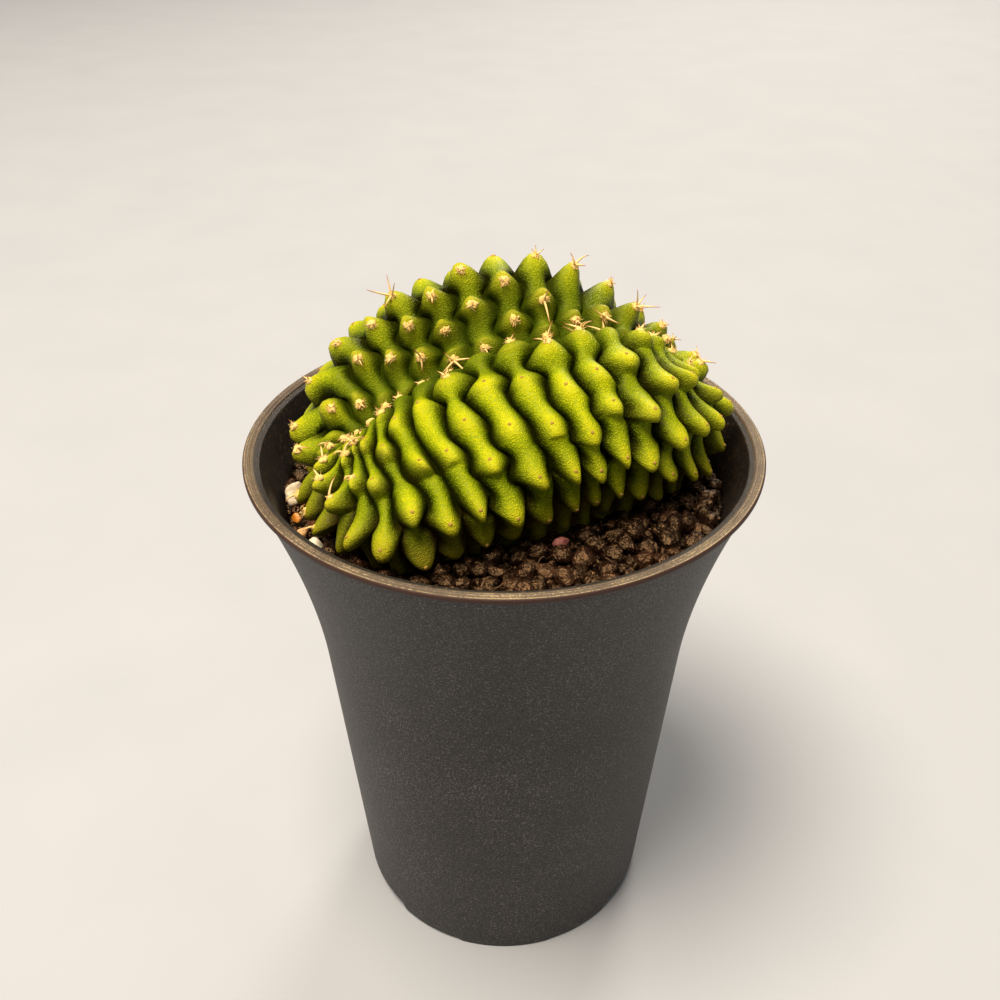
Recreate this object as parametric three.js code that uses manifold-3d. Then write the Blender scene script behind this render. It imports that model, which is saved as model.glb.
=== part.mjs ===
// A crested gymnocalycium in a small plastic pot of dark grit.
// Millimetres, +Z up. The origin is the middle of the pot's foot, on the surface it stands on.
// -Y is the front, from where the lower lobe of the crest is seen.

import * as THREE from 'three';
import { mergeVertices } from 'three/addons/utils/BufferGeometryUtils.js';
import Module from 'manifold-3d';

const wasm = await Module();
wasm.setup();

// Pot
const POT_HEIGHT = 98.5;
const RIM_RADIUS = 42.5;
const FOOT_RADIUS = 27.8;
const WALL_TAPER = 7.82;         // growth of the radius from foot to rim, without the flare
const FLARE_START = 58.8;        // height where the wall begins to flare
const FLARE_GROWTH = 6.53;
const FLARE_POWER = 1.89;
const WALL_THICKNESS = 1.9;
const WALL_CLEARANCE = 0.8;      // of the plant from the wall
const LIP_HEIGHT = 0.9;
const LIP_WIDTH = 1.75;          // flat outer ring of the lip
const LIP_STEP = 0.45;           // the inner ring lies this much lower
const INNER_RING_WIDTH = 1.0;
const FLOOR_UNDERSIDE = 3.0;
const FLOOR_TOP = 5.0;
const POT_SEGMENTS = 48;
const PAD_HALF_ANGLE = 18;       // degrees, of the four pads that the pot stands on
const EDGE_LIFT = 0.5;           // the foot between pads and slots is this much higher
const SLOT_HEIGHT = 2.0;
const SLOT_HALF_ANGLE = 15;
const SLOT_ANGLES = [60, 120, 240, 300];
const DRAIN_RADIUS = 3.2;
const DRAIN_CIRCLE = 14;
const DRAIN_COUNT = 4;

// Soil
const GAP = 0.3;
const SOIL_LEVEL = 89.6;
const GRAIN_PITCH = 5.3;
const GRAIN_RADIUS = 3.0;
const SMALLEST_GRAIN = 1.25;
const GRAIN_JITTER = 0.3;        // of the pitch
const GRAIN_FLATNESS = 0.85;
const GRAIN_SIZES = [0.85, 1.15]; // of the radius
const ROW_SHARE = 0.87;          // distance between rows of grains over their pitch
const LUMP_REACH = [0.86, 1.14]; // of a lump's corners, over its radius
const SOIL_CLEARANCE = 0.55;

// Crest
const RIBS = 36;
const RIBS_PER_STATION = 2;
const FOLD = 40;                 // rib k meets rib FOLD - k across the growing line
const FRONT_LOBE = [7, 9.5, 13, 16];   // ribs where it begins, is full, and ends again
const BACK_LOBE = [21, 24, 33, 36];
const CHIN_PITCH = 8.3;
const TUBERCLES = 8;             // followed down each rib
const CHIN_AT = 0.84;            // where a chin is on its tubercle, from 0 to 1
const CHIN_BACK = 0.87;          // where it begins to fall away
const ROWS_ON_TUBERCLE = [0.03, 0.45, 0.84, 0.97];
const COLUMNS_PER_RIB = 4;
const LINES_PER_RIB = 16;        // measured down the mean surface
const RIB_HEIGHT = 3.4;
const RIB_SINK = 1.9;            // depth of the furrows under the mean surface
const LOW_BACK = 0.3;            // the back lobe's ribs and furrows are this much flatter
const RIB_ROUNDNESS = 2.4;       // power of the rib's section
const RIB_FULLNESS = 0.78;
const CHIN_NARROWING = 1.0;      // of a rib towards a sharp chin
const TIP_HEIGHT = 1.4;
const TIP_REACH = [2.2, 1.25];   // of a chin's tip up and down its rib
const TIP_GROWTH = 0.5;          // larger tips at the ends
const TIP_DROP = 1.7;
const SHARP_START = 1.5;         // distance from the growing line where chins begin to sharpen
const SHARP_DELAY = [16, 0.5];   // more of that in the middle of the front and the back lobe
const SHARP_SPAN = 11;
const STEP = 0.24;               // depth of a notch, over the rib's height
const STEP_MORE = [0.14, 0.3, 0.12]; // more for a sharp chin, at the ends, and in the back lobe
const SMOOTH_PART = [8, 11, 18, 27]; // part of a front rib without deep notches
const WAIST_LOSS = 0.72;         // how much shallower they are there
const WIND = 0.2;                // of a rib's width, that the furrows wind to each side
const WIND_START = [0.8, 3.5];
const WIND_END = 5;
const YOUNG_SHARE = 0.25;        // of the full height, at the growing line
const FOOT_SHARE = 0.35;         // of the full height, at the foot
const GROOVE_DEPTH = 2.0;
const NECK_BOTTOM = 86;
const NECK_SIZE = [25, 15.5];    // half axes
const NECK_CENTRE = [2, -0.5];
const NECK_TURN = 17;            // degrees

// Areoles and spines
const AREOLE_ABOVE_CHIN = 0.9;
const FIRST_AREOLE = 0.8;        // distance from the growing line
const BARE_RIBS = [5, 21];       // between these, on the front, spines are lost early
const SPINY_PART = [6, 15];      // distance from the growing line up to which ribs keep spines
const AREOLE_RADIUS = 0.6;
const AREOLE_HEIGHT = 0.5;
const AREOLE_SINK = 0.2;
const AREOLE_ROOT = 1.2;
const SPINE_LENGTH = 4.6;
const SPINE_LIFT = 0.7;          // rise of a spine over its run

// The crest's mean surface, as five points down every second rib:
// the groove's edge, the crown, the belly, below it, and the foot.
// The list goes from the left end along the front to the right end, and back behind.
const STATIONS = [
  [[-25, -8.5, 103.2], [-28, -8.5, 103], [-31.4, -7.4, 99.2], [-30.1, -7.7, 94.3], [-27.8, -8.3, 90]],
  [[-24.5, -9.8, 103.2], [-26.7, -13.2, 102.5], [-29.3, -15.6, 98.6], [-28.6, -16.5, 94], [-26.4, -16, 90]],
  [[-23, -9, 104], [-23.9, -14.9, 103.3], [-24.3, -21.5, 100.4], [-24.6, -24, 96], [-23.2, -22, 90]],
  [[-20.5, -7.5, 105.6], [-20.9, -14.2, 105.1], [-17.9, -25.1, 102.8], [-17.2, -29, 97.6], [-16, -26.5, 90]],
  [[-16.5, -5.4, 108.2], [-15.6, -13.5, 106.6], [-10.1, -23.6, 104.1], [-7.9, -26.5, 98.6], [-7, -23.8, 90]],
  [[-8.6, -4, 112.4], [-7.4, -11, 110.6], [-2, -20.5, 106], [1.2, -23.5, 99.5], [1.5, -19, 90]],
  [[1.2, -3, 116.2], [3, -9.6, 113.3], [7.7, -17.5, 109], [10.2, -19, 102], [10, -14.5, 90]],
  [[11.6, -1.5, 117.6], [12.6, -6.8, 116.2], [16.5, -14.5, 110.3], [17.3, -15.5, 102], [16.5, -10.5, 90]],
  [[20, 1, 116.4], [22.8, -3.7, 115.2], [26, -10, 108.2], [25.5, -11.5, 101], [24, -7.5, 90]],
  [[25.5, 3.4, 112.8], [28.4, 0, 111], [32.3, -4.2, 105.4], [32, -5.5, 99], [30, -3, 90]],
  [[26.7, 5.6, 111.3], [29.8, 4.3, 108.9], [35.2, 2.8, 103.4], [34.9, 3.2, 97.4], [32.5, 4, 90]],
  [[25, 6.8, 112.2], [27.4, 9, 110.6], [31.5, 12.8, 105], [31.3, 14.3, 98.3], [29, 12.8, 90]],
  [[19.5, 5, 115.6], [20.6, 9.8, 116], [23, 18.8, 109.8], [23.5, 21.8, 100.5], [22, 19.5, 90]],
  [[11, 2.5, 117.8], [10.5, 10, 122.6], [12, 21, 113.5], [11.5, 25, 101.5], [10.5, 22, 90]],
  [[2, 0.5, 117], [-1, 8.5, 124.6], [-2, 20.5, 115], [-1.5, 24, 101.5], [-1, 21, 90]],
  [[-8, -0.2, 113.6], [-12, 7.5, 121.6], [-14, 18, 112.5], [-13.5, 20.5, 100], [-12.5, 18, 90]],
  [[-16, -2.4, 109.4], [-21, 5, 116.3], [-25, 12.5, 109], [-24.5, 14, 98.5], [-22, 12, 90]],
  [[-21.5, -5.5, 105.8], [-27.2, 0, 109.7], [-31.6, 2.2, 103.8], [-31, 2.8, 96.5], [-28, 2, 90]],
];

// Distances along each rib from the growing line to its chins. More follow CHIN_PITCH apart.
const CHINS = [
  [3.2, 10, 17.5], [5.5, 13.5, 20], [8.2, 15.5, 22], [4, 12.2, 18.5], [2, 9.5, 17, 24.5],
  [8.3, 16, 24.2], [1.5, 9.5, 18.7, 28], [4.5, 12.9, 25.5, 33.5], [8.8, 19, 28.3, 36],
  [8.8, 19.5, 27.6, 35], [6.4, 15.3, 22.6, 30, 37], [1.6, 9.7, 18.4, 25.7, 33.5],
  [3.5, 11, 20, 25.8, 33], [6, 14.2, 21.7, 26.6, 33.5], [4.5, 12.8, 17.9, 24.5, 31.5],
  [3, 10.5, 18.9, 25.7, 33], [6, 14.2, 22.8, 28.5, 35], [4.5, 12.3, 19.7, 27, 34],
  [1.6, 9.4, 17.5, 25.5], [4.4, 12.7, 21], [7.2, 15.5, 23.8], [1.5, 9.8, 18.1, 26.4],
  [5.5, 13.8, 22.1], [1, 9.3, 17.6, 25.9], [1.5, 7.5, 14.5, 22], [4.7, 12.6, 21, 29],
  [3.9, 12.4, 20.5, 28.5], [2.6, 7.5, 14.8, 23, 31], [5.6, 11.5, 19.5, 27.5],
  [3.3, 9.5, 15, 23, 31], [3.6, 8, 13.2, 21, 29], [5.8, 11, 16.3, 24, 32],
  [1.8, 7.8, 14.3, 22, 30], [3, 10.6, 16, 24, 31], [5.4, 15.8, 23.5], [7.2, 14.5, 21.5],
];

// Small maths

const radians = (degrees) => degrees * Math.PI / 180;

function smooth(x, low, high) {
  const t = Math.min(1, Math.max(0, (x - low) / (high - low)));
  return t * t * (3 - 2 * t);
}

function random(seed) {
  let state = seed;
  return () => {
    state = (state * 1664525 + 1013904223) % 4294967296;
    return state / 4294967296;
  };
}

function spline(a, b, c, d, t) {
  const point = [];
  for (let i = 0; i < 3; i += 1) {
    const linear = c[i] - a[i];
    const square = 2 * a[i] - 5 * b[i] + 4 * c[i] - d[i];
    const cube = 3 * b[i] - a[i] - 3 * c[i] + d[i];
    point.push(0.5 * (2 * b[i] + linear * t + square * t * t + cube * t * t * t));
  }
  return point;
}

// Solids

function solid(geometry) {
  const bare = geometry.index ? geometry.clone() : geometry;
  bare.deleteAttribute('normal');
  bare.deleteAttribute('uv');
  const merged = mergeVertices(bare, 1e-3);
  const index = merged.index.array;
  const kept = [];
  for (let i = 0; i < index.length; i += 3) {
    const [a, b, c] = [index[i], index[i + 1], index[i + 2]];
    if (a !== b && b !== c && c !== a) {
      kept.push(a, b, c);
    }
  }
  const mesh = new wasm.Mesh({
    numProp: 3,
    vertProperties: Float32Array.from(merged.attributes.position.array),
    triVerts: Uint32Array.from(kept),
  });
  return new wasm.Manifold(mesh);
}

function geometryOf(manifold) {
  const mesh = manifold.getMesh();
  const geometry = new THREE.BufferGeometry();
  geometry.setAttribute('position', new THREE.BufferAttribute(Float32Array.from(mesh.vertProperties), 3));
  geometry.setIndex(new THREE.BufferAttribute(Uint32Array.from(mesh.triVerts), 1));
  return geometry;
}

function joined(solids) {
  let all = solids;
  while (all.length > 1) {
    const pairs = [];
    for (let i = 0; i < all.length; i += 2) {
      pairs.push(i + 1 < all.length ? all[i].add(all[i + 1]) : all[i]);
    }
    all = pairs;
  }
  return all[0];
}

// The body alone, without loose scraps and with every sealed hollow filled.
function body(manifold) {
  const shells = manifold.decompose();
  return shells.reduce((best, shell) => (shell.volume() > best.volume() ? shell : best));
}

function piece(name, geometry, color, roughness) {
  const flat = geometry.toNonIndexed();
  flat.computeVertexNormals();
  const material = new THREE.MeshStandardMaterial({ color, roughness, metalness: 0 });
  const mesh = new THREE.Mesh(flat, material);
  mesh.name = name;
  return mesh;
}

// Pot

function outerRadius(z) {
  const flare = Math.max(0, (z - FLARE_START) / (POT_HEIGHT - FLARE_START));
  return FOOT_RADIUS + WALL_TAPER * z / POT_HEIGHT + FLARE_GROWTH * flare ** FLARE_POWER;
}

const innerRadius = (z) => outerRadius(z) - WALL_THICKNESS;

// What grows against the wall bends back from it, and leans out again over the rim.
function insideWall(point) {
  const mouth = RIM_RADIUS - LIP_WIDTH - INNER_RING_WIDTH;
  const below = Math.min(mouth, innerRadius(Math.min(point.z, POT_HEIGHT)));
  const limit = below + 2 * Math.max(0, point.z - POT_HEIGHT) - WALL_CLEARANCE;
  const reach = Math.hypot(point.x, point.y);
  if (reach > limit) {
    point.x *= limit / reach;
    point.y *= limit / reach;
  }
  return point;
}

function lathe(points) {
  const profile = points.map(([r, z]) => new THREE.Vector2(r, z));
  const geometry = new THREE.LatheGeometry(profile, POT_SEGMENTS);
  geometry.rotateX(Math.PI / 2);
  return geometry;
}

// A block between two angles from the front, from the middle out past the wall.
function sector(from, to, inner, bottom, top) {
  const steps = 6;
  const shape = new THREE.Shape();
  const at = (degrees, r) => [r * Math.sin(radians(degrees)), -r * Math.cos(radians(degrees))];
  for (let i = 0; i <= steps; i += 1) {
    const [x, y] = at(from + (to - from) * i / steps, FOOT_RADIUS + 4);
    if (i === 0) {
      shape.moveTo(x, y);
    } else {
      shape.lineTo(x, y);
    }
  }
  for (let i = steps; i >= 0; i -= 1) {
    const [x, y] = at(from + (to - from) * i / steps, inner);
    shape.lineTo(x, y);
  }
  const geometry = new THREE.ExtrudeGeometry(shape, { depth: top - bottom, bevelEnabled: false });
  geometry.translate(0, 0, bottom);
  return solid(geometry);
}

function makePot() {
  const lipEdge = POT_HEIGHT - LIP_HEIGHT;
  const stepRadius = RIM_RADIUS - LIP_WIDTH;
  const mouthRadius = stepRadius - INNER_RING_WIDTH;
  const flareHeights = [FLARE_START, 68, 76, 83, 89, 94];
  const footWall = FOOT_RADIUS - WALL_THICKNESS;
  const points = [
    [0, FLOOR_UNDERSIDE],
    [footWall, FLOOR_UNDERSIDE],
    [footWall, 0],
    [FOOT_RADIUS, 0],
    ...flareHeights.map((z) => [outerRadius(z), z]),
    [outerRadius(lipEdge) - 0.15, lipEdge],
    [RIM_RADIUS, lipEdge + 0.1],
    [RIM_RADIUS, POT_HEIGHT],
    [stepRadius, POT_HEIGHT],
    [stepRadius, POT_HEIGHT - LIP_STEP],
    [mouthRadius, POT_HEIGHT - LIP_STEP - 0.3],
    ...flareHeights.toReversed().map((z) => [innerRadius(z), z]),
    [innerRadius(FLOOR_TOP), FLOOR_TOP],
    [0, FLOOR_TOP],
  ];
  let pot = solid(lathe(points));
  const cuts = [];
  for (const middle of SLOT_ANGLES) {
    const [from, to] = [middle - SLOT_HALF_ANGLE, middle + SLOT_HALF_ANGLE];
    cuts.push(sector(from, to, footWall - 1, -1, SLOT_HEIGHT));
  }
  for (const side of [0, 180]) {
    for (const turn of [1, -1]) {
      const edges = [side + turn * PAD_HALF_ANGLE, side + turn * (60 - SLOT_HALF_ANGLE + 1)];
      cuts.push(sector(Math.min(...edges), Math.max(...edges), footWall - 1, -1, EDGE_LIFT));
    }
  }
  for (let i = 0; i <= DRAIN_COUNT; i += 1) {
    const hole = new THREE.CylinderGeometry(DRAIN_RADIUS, DRAIN_RADIUS, 6, 16);
    hole.rotateX(Math.PI / 2);
    const angle = i * 2 * Math.PI / DRAIN_COUNT + Math.PI / 4;
    const out = i === DRAIN_COUNT ? 0 : DRAIN_CIRCLE;
    hole.translate(out * Math.cos(angle), out * Math.sin(angle), FLOOR_UNDERSIDE + 1);
    cuts.push(solid(hole));
  }
  for (const cut of cuts) {
    pot = pot.subtract(cut);
  }
  return pot;
}

// Crest

// Each station with a sixth point in front: the floor of the groove, shared with the rib it meets.
function stationRings() {
  const count = STATIONS.length;
  return STATIONS.map((ring, i) => {
    const partner = STATIONS[(FOLD / RIBS_PER_STATION - i + count) % count];
    const floor = ring[0].map((value, axis) => (value + partner[0][axis]) / 2);
    floor[2] -= GROOVE_DEPTH;
    return [floor, ...ring];
  });
}

const RINGS = stationRings();
const RING_SPANS = RINGS[0].length - 1;

// The mean line down the crest at a place between two ribs, as a function of 0 to 5.
function meanLine(rib) {
  const count = RINGS.length;
  const place = rib / RIBS_PER_STATION;
  const i = Math.floor(place);
  const t = place - i;
  const at = (k) => RINGS[(k + count) % count];
  const line = RINGS[0].map((_, j) => spline(at(i - 1)[j], at(i)[j], at(i + 1)[j], at(i + 2)[j], t));
  const beyond = (a, b) => a.map((value, axis) => 2 * value - b[axis]);
  const ends = [beyond(line[0], line[1]), ...line, beyond(line.at(-1), line.at(-2))];
  return (v) => {
    const j = Math.min(RING_SPANS - 1, Math.floor(v));
    return spline(ends[j], ends[j + 1], ends[j + 2], ends[j + 3], v - j);
  };
}

// The same line measured by its length, from the growing line down to the foot.
function measuredLine(rib) {
  const steps = 100;
  const line = meanLine(rib);
  const lengths = [0];
  let last = new THREE.Vector3(...line(0));
  for (let i = 1; i <= steps; i += 1) {
    const next = new THREE.Vector3(...line(i * RING_SPANS / steps));
    lengths.push(lengths.at(-1) + next.distanceTo(last));
    last = next;
  }
  const total = lengths.at(-1);
  const point = (s) => {
    const wanted = Math.min(total, Math.max(0, s));
    let i = lengths.findIndex((length) => length >= wanted);
    i = Math.max(1, i);
    const share = (wanted - lengths[i - 1]) / (lengths[i] - lengths[i - 1]);
    return new THREE.Vector3(...line((i - 1 + share) * RING_SPANS / steps));
  };
  return { total, point };
}

const lineCache = new Map();

function lineAt(step) {
  const count = RIBS * LINES_PER_RIB;
  const key = ((step % count) + count) % count;
  if (!lineCache.has(key)) {
    lineCache.set(key, measuredLine(key / LINES_PER_RIB));
  }
  return lineCache.get(key);
}

// A point of the mean surface between two measured lines.
function meanPoint(rib, s) {
  const low = Math.floor(rib * LINES_PER_RIB);
  const share = rib * LINES_PER_RIB - low;
  return lineAt(low).point(s).lerp(lineAt(low + 1).point(s), share);
}

const lengthOf = (rib) => lineAt(Math.round(rib * LINES_PER_RIB)).total;

const ownRib = (k) => ((k % RIBS) + RIBS) % RIBS;

const plateau = (x, [a, b, c, d]) => smooth(x, a, b) * (1 - smooth(x, c, d));

// A rib's chins, with one before the listed ones and more after them.
function chinPlaces(k) {
  const chins = CHINS[ownRib(k)];
  const places = [chins[0] - CHIN_PITCH, ...chins];
  while (places.length < TUBERCLES) {
    places.push(places.at(-1) + CHIN_PITCH);
  }
  return places;
}

// How far along its tubercle a point is, from the notch behind one chin at 0 to the next at 1.
function chinPhase(k, s) {
  const places = chinPlaces(k);
  let i = places.findIndex((place) => place > s);
  i = Math.max(1, i < 0 ? places.length - 1 : i);
  const length = places[i] - places[i - 1];
  const phase = i - 1 + CHIN_AT + (s - places[i - 1]) / length;
  return { t: phase - Math.floor(phase), length };
}

// The distance from the growing line of a place given in tubercles, the reverse of chinPhase.
function distanceAt(k, phase) {
  const places = chinPlaces(k);
  const i = Math.min(places.length - 1, Math.max(1, Math.ceil(phase + 1 - CHIN_AT)));
  return places[i - 1] + (phase + 1 - CHIN_AT - (i - 1)) * (places[i] - places[i - 1]);
}

// A swell over one tubercle: even where it is soft, slow to rise and quick to fall where sharp.
function swelling(t, sharp) {
  const soft = 0.5 + 0.5 * Math.cos(2 * Math.PI * (t - 0.78));
  const hard = Math.sin(Math.PI * t ** 2.1) ** 2;
  return soft + (hard - soft) * smooth(sharp, 0.12, 0.6);
}

// A point of the skin. The rib's cross-section is a rounded ridge. Along the rib each tubercle
// swells and ends in a blunt tip, its chin, which is drawn out and down the rib. A rib is wide
// where it swells and narrow between, so the furrows wind from side to side.
function skinPoint(rib, s) {
  const k = Math.round(rib);
  const side = (rib - k) * 2;
  const total = lengthOf(rib);
  const front = plateau(ownRib(rib), FRONT_LOBE);
  const back = plateau(ownRib(rib), BACK_LOBE);
  const end = (1 - front) * (1 - back);
  const start = SHARP_START + SHARP_DELAY[0] * front + SHARP_DELAY[1] * back;
  const sharp = 0.1 + 0.9 * smooth(s, start, start + SHARP_SPAN);
  const waist = 1 - WAIST_LOSS * front * plateau(s, SMOOTH_PART);
  const { t, length } = chinPhase(k, s);
  const swell = swelling(t, sharp);
  const beside = swelling(chinPhase(k + (side >= 0 ? 1 : -1), s).t, sharp);
  const wind = WIND * waist * (1 - 0.45 * back) * smooth(s, ...WIND_START) * smooth(total - s, 0, WIND_END);
  const place = k + side * (0.5 + wind * (swell - beside));
  const here = meanPoint(place, s);
  const along = meanPoint(place, s + 0.3).sub(meanPoint(place, s - 0.3)).normalize();
  const across = meanPoint(place + 0.5, s).sub(meanPoint(place - 0.5, s));
  const normal = new THREE.Vector3().crossVectors(along, across).normalize();
  const lean = plateau(t, [0.2, CHIN_AT, CHIN_BACK, 1]);
  const narrowing = RIB_FULLNESS + (0.2 + CHIN_NARROWING * (1 + 0.8 * front) * sharp) * lean;
  const ridge = Math.max(0, 1 - Math.abs(side) ** RIB_ROUNDNESS) ** narrowing;
  const away = (t - CHIN_AT) * length;
  const within = plateau(t, [0, 0.2, 0.9, 1]);
  const nub = Math.exp(-((away / TIP_REACH[away < 0 ? 0 : 1]) ** 2)) * within;
  const grown = smooth(s, 0.2, 4.5);
  const footing = smooth(total - s, 0, 7 + 7 * front);
  const size = (YOUNG_SHARE + (1 - YOUNG_SHARE) * grown) * (FOOT_SHARE + (1 - FOOT_SHARE) * footing);
  const step = (STEP + STEP_MORE[0] * sharp + STEP_MORE[1] * end + STEP_MORE[2] * back) * waist;
  const mound = (RIB_HEIGHT - LOW_BACK * back) * ridge * (1 - step + step * swell);
  const tip = TIP_HEIGHT * sharp * (1 + TIP_GROWTH * end) * nub * ridge ** 1.3;
  const sink = (RIB_SINK - LOW_BACK * back) * (0.3 + 0.7 * grown);
  const edge = smooth(s, 0, 1);
  const drop = edge * size * TIP_DROP * (sharp - 0.1) * (1 - 0.35 * back) * lean * ridge;
  here.addScaledVector(normal, edge * (size * (mound + tip) - sink)).addScaledVector(along, drop);
  here.z = Math.max(here.z, STATIONS[0].at(-1)[2]);
  return { point: insideWall(here), normal, along };
}

// Rows follow the chins of their own rib, and a furrow takes the mean of the ribs on both sides.
function rowsOf(k) {
  const rows = [0];
  for (let n = -1; n < TUBERCLES - 1; n += 1) {
    for (const mark of ROWS_ON_TUBERCLE) {
      rows.push(distanceAt(k, n + mark));
    }
  }
  rows.push(2 * RIM_RADIUS);
  return rows;
}

function makeSkin() {
  const columns = RIBS * COLUMNS_PER_RIB;
  const positions = [];
  let rowCount = 0;
  for (let j = 0; j < columns; j += 1) {
    const rib = j / COLUMNS_PER_RIB;
    const low = rowsOf(Math.floor(rib + 0.49));
    const high = rowsOf(Math.floor(rib + 0.51));
    const total = lengthOf(rib);
    rowCount = low.length;
    for (let m = 0; m < rowCount; m += 1) {
      const s = Math.min(total, Math.max(0, (low[m] + high[m]) / 2));
      positions.push(...skinPoint(rib, s).point.toArray());
    }
  }
  const index = [];
  for (let j = 0; j < columns; j += 1) {
    const a = j * rowCount;
    const b = ((j + 1) % columns) * rowCount;
    for (let m = 0; m < rowCount - 1; m += 1) {
      index.push(a + m, a + m + 1, b + m + 1, a + m, b + m + 1, b + m);
    }
  }
  const middle = positions.length / 3;
  positions.push(...NECK_CENTRE, STATIONS[0].at(-1)[2]);
  for (let j = 0; j < columns; j += 1) {
    index.push(j * rowCount + rowCount - 1, middle, ((j + 1) % columns) * rowCount + rowCount - 1);
  }
  const geometry = new THREE.BufferGeometry();
  geometry.setAttribute('position', new THREE.Float32BufferAttribute(positions, 3));
  geometry.setIndex(index);
  return geometry;
}

function neck(margin, bottom, top) {
  const shape = new THREE.Shape();
  const [a, b] = NECK_SIZE;
  shape.absellipse(...NECK_CENTRE, a + margin, b + margin, 0, 2 * Math.PI, false, radians(NECK_TURN));
  const geometry = new THREE.ExtrudeGeometry(shape, {
    depth: top - bottom,
    bevelEnabled: false,
    curveSegments: 28,
  });
  geometry.translate(0, 0, bottom);
  return solid(geometry);
}

// A woolly areole with its spines, on a tubercle just above its chin: a star of two low cones
// over the skin and under it, with every other corner drawn out into a spine.
function areole(rib, s, count, draw) {
  const { point, normal, along } = skinPoint(rib, s);
  const side = new THREE.Vector3().crossVectors(normal, along).normalize();
  const centre = point.clone().addScaledVector(normal, -AREOLE_SINK);
  const ring = [];
  for (let i = 0; i < 2 * count; i += 1) {
    const turn = Math.PI * (i + 0.4 * draw()) / count + Math.PI / 2;
    const out = side.clone().multiplyScalar(Math.cos(turn)).addScaledVector(along, -Math.sin(turn));
    if (i % 2 === 1) {
      ring.push(centre.clone().addScaledVector(out, AREOLE_RADIUS));
    } else {
      out.addScaledVector(normal, SPINE_LIFT * (0.6 + 0.8 * draw())).normalize();
      ring.push(insideWall(centre.clone().addScaledVector(out, SPINE_LENGTH * (0.75 + 0.4 * draw()))));
    }
  }
  const top = centre.clone().addScaledVector(normal, AREOLE_SINK + AREOLE_HEIGHT);
  const bottom = centre.clone().addScaledVector(normal, -AREOLE_ROOT);
  const triangles = [];
  for (let i = 0; i < ring.length; i += 1) {
    const next = ring[(i + 1) % ring.length];
    triangles.push(top, next, ring[i], bottom, ring[i], next);
  }
  const geometry = new THREE.BufferGeometry().setFromPoints(triangles);
  const star = solid(geometry);
  return star.volume() > 0 ? star : solid(mirrored(geometry));
}

function mirrored(geometry) {
  const position = geometry.attributes.position;
  for (let i = 0; i < position.count; i += 3) {
    const a = new THREE.Vector3().fromBufferAttribute(position, i);
    const b = new THREE.Vector3().fromBufferAttribute(position, i + 1);
    position.setXYZ(i, b.x, b.y, b.z);
    position.setXYZ(i + 1, a.x, a.y, a.z);
  }
  return geometry;
}

// Spines stay on the young tubercles near the growing line, and further down at the left end
// and over the back lobe.
function makeAreoles() {
  const draw = random(7);
  const parts = [];
  for (let k = 0; k < RIBS; k += 1) {
    const bare = k > BARE_RIBS[0] && k < BARE_RIBS[1];
    const reach = bare ? SPINY_PART[0] : SPINY_PART[1];
    for (const place of chinPlaces(k)) {
      const s = place - AREOLE_ABOVE_CHIN;
      if (s > FIRST_AREOLE && s < reach) {
        parts.push(areole(k, s, 3 + Math.floor(draw() * 2), draw));
      }
    }
  }
  return parts;
}

function makeCactus() {
  const skin = solid(makeSkin());
  return body(joined([skin, neck(0, NECK_BOTTOM, STATIONS[0].at(-1)[2] + 1.5), ...makeAreoles()]));
}

// Loose bits

function lump(radius, scale, seed) {
  const draw = random(seed);
  const geometry = mergeVertices(new THREE.IcosahedronGeometry(radius, 0).deleteAttribute('normal')
    .deleteAttribute('uv'), 1e-3);
  const position = geometry.attributes.position;
  for (let i = 0; i < position.count; i += 1) {
    const grow = LUMP_REACH[0] + (LUMP_REACH[1] - LUMP_REACH[0]) * draw();
    position.setXYZ(
      i,
      position.getX(i) * scale[0] * grow,
      position.getY(i) * scale[1] * grow,
      position.getZ(i) * scale[2] * grow,
    );
  }
  return geometry;
}

// Name, colour, place, radius and shape of each loose bit.
const LOOSE = [
  ['pebble_cream_large', 0xcfc2a6, [-34.0, -6.6], 2.3, [0.85, 1.15, 0.85], 11],
  ['pebble_cream_small', 0xd8cfb8, [-29.2, -19.6], 1.6, [1.1, 0.9, 0.75], 12],
  ['pebble_tan', 0xb98a55, [-31.8, -16.2], 1.3, [1.0, 0.9, 0.75], 13],
  ['grain_amber', 0xc77a22, [-33.2, -12.1], 1.15, [1.0, 0.9, 0.8], 14],
  ['chip_bark', 0x6b3b1c, [-30.7, -12.6], 1.0, [0.7, 1.6, 0.7], 15],
  ['chip_pink', 0x9a5a52, [8.8, -19.4], 1.5, [1.1, 0.7, 0.8], 16],
];

function makeLoose([name, color, [x, y], radius, scale, seed]) {
  const geometry = lump(radius, scale, seed);
  geometry.computeBoundingBox();
  geometry.translate(x, y, SOIL_LEVEL + GAP - geometry.boundingBox.min.z);
  return piece(name, geometry, color, 0.7);
}

// Soil

// Spots all over the skin: the corners and edges of its triangles, and rows across their inside.
function spotsOf(skin) {
  const position = skin.attributes.position;
  const index = skin.index.array;
  const spots = [];
  for (let i = 0; i < index.length; i += 3) {
    const [a, b, c] = [0, 1, 2].map((k) => new THREE.Vector3().fromBufferAttribute(position, index[i + k]));
    const steps = Math.ceil(Math.max(a.distanceTo(b), b.distanceTo(c), c.distanceTo(a)));
    for (let p = 0; p <= steps; p += 1) {
      for (let q = 0; q <= steps - p; q += 1) {
        const spot = a.clone().multiplyScalar(1 - (p + q) / steps);
        spot.addScaledVector(b, p / steps).addScaledVector(c, q / steps);
        spots.push(spot);
      }
    }
  }
  return spots.filter((spot) => spot.z < SOIL_LEVEL + 2 * GRAIN_RADIUS + 1);
}

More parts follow.
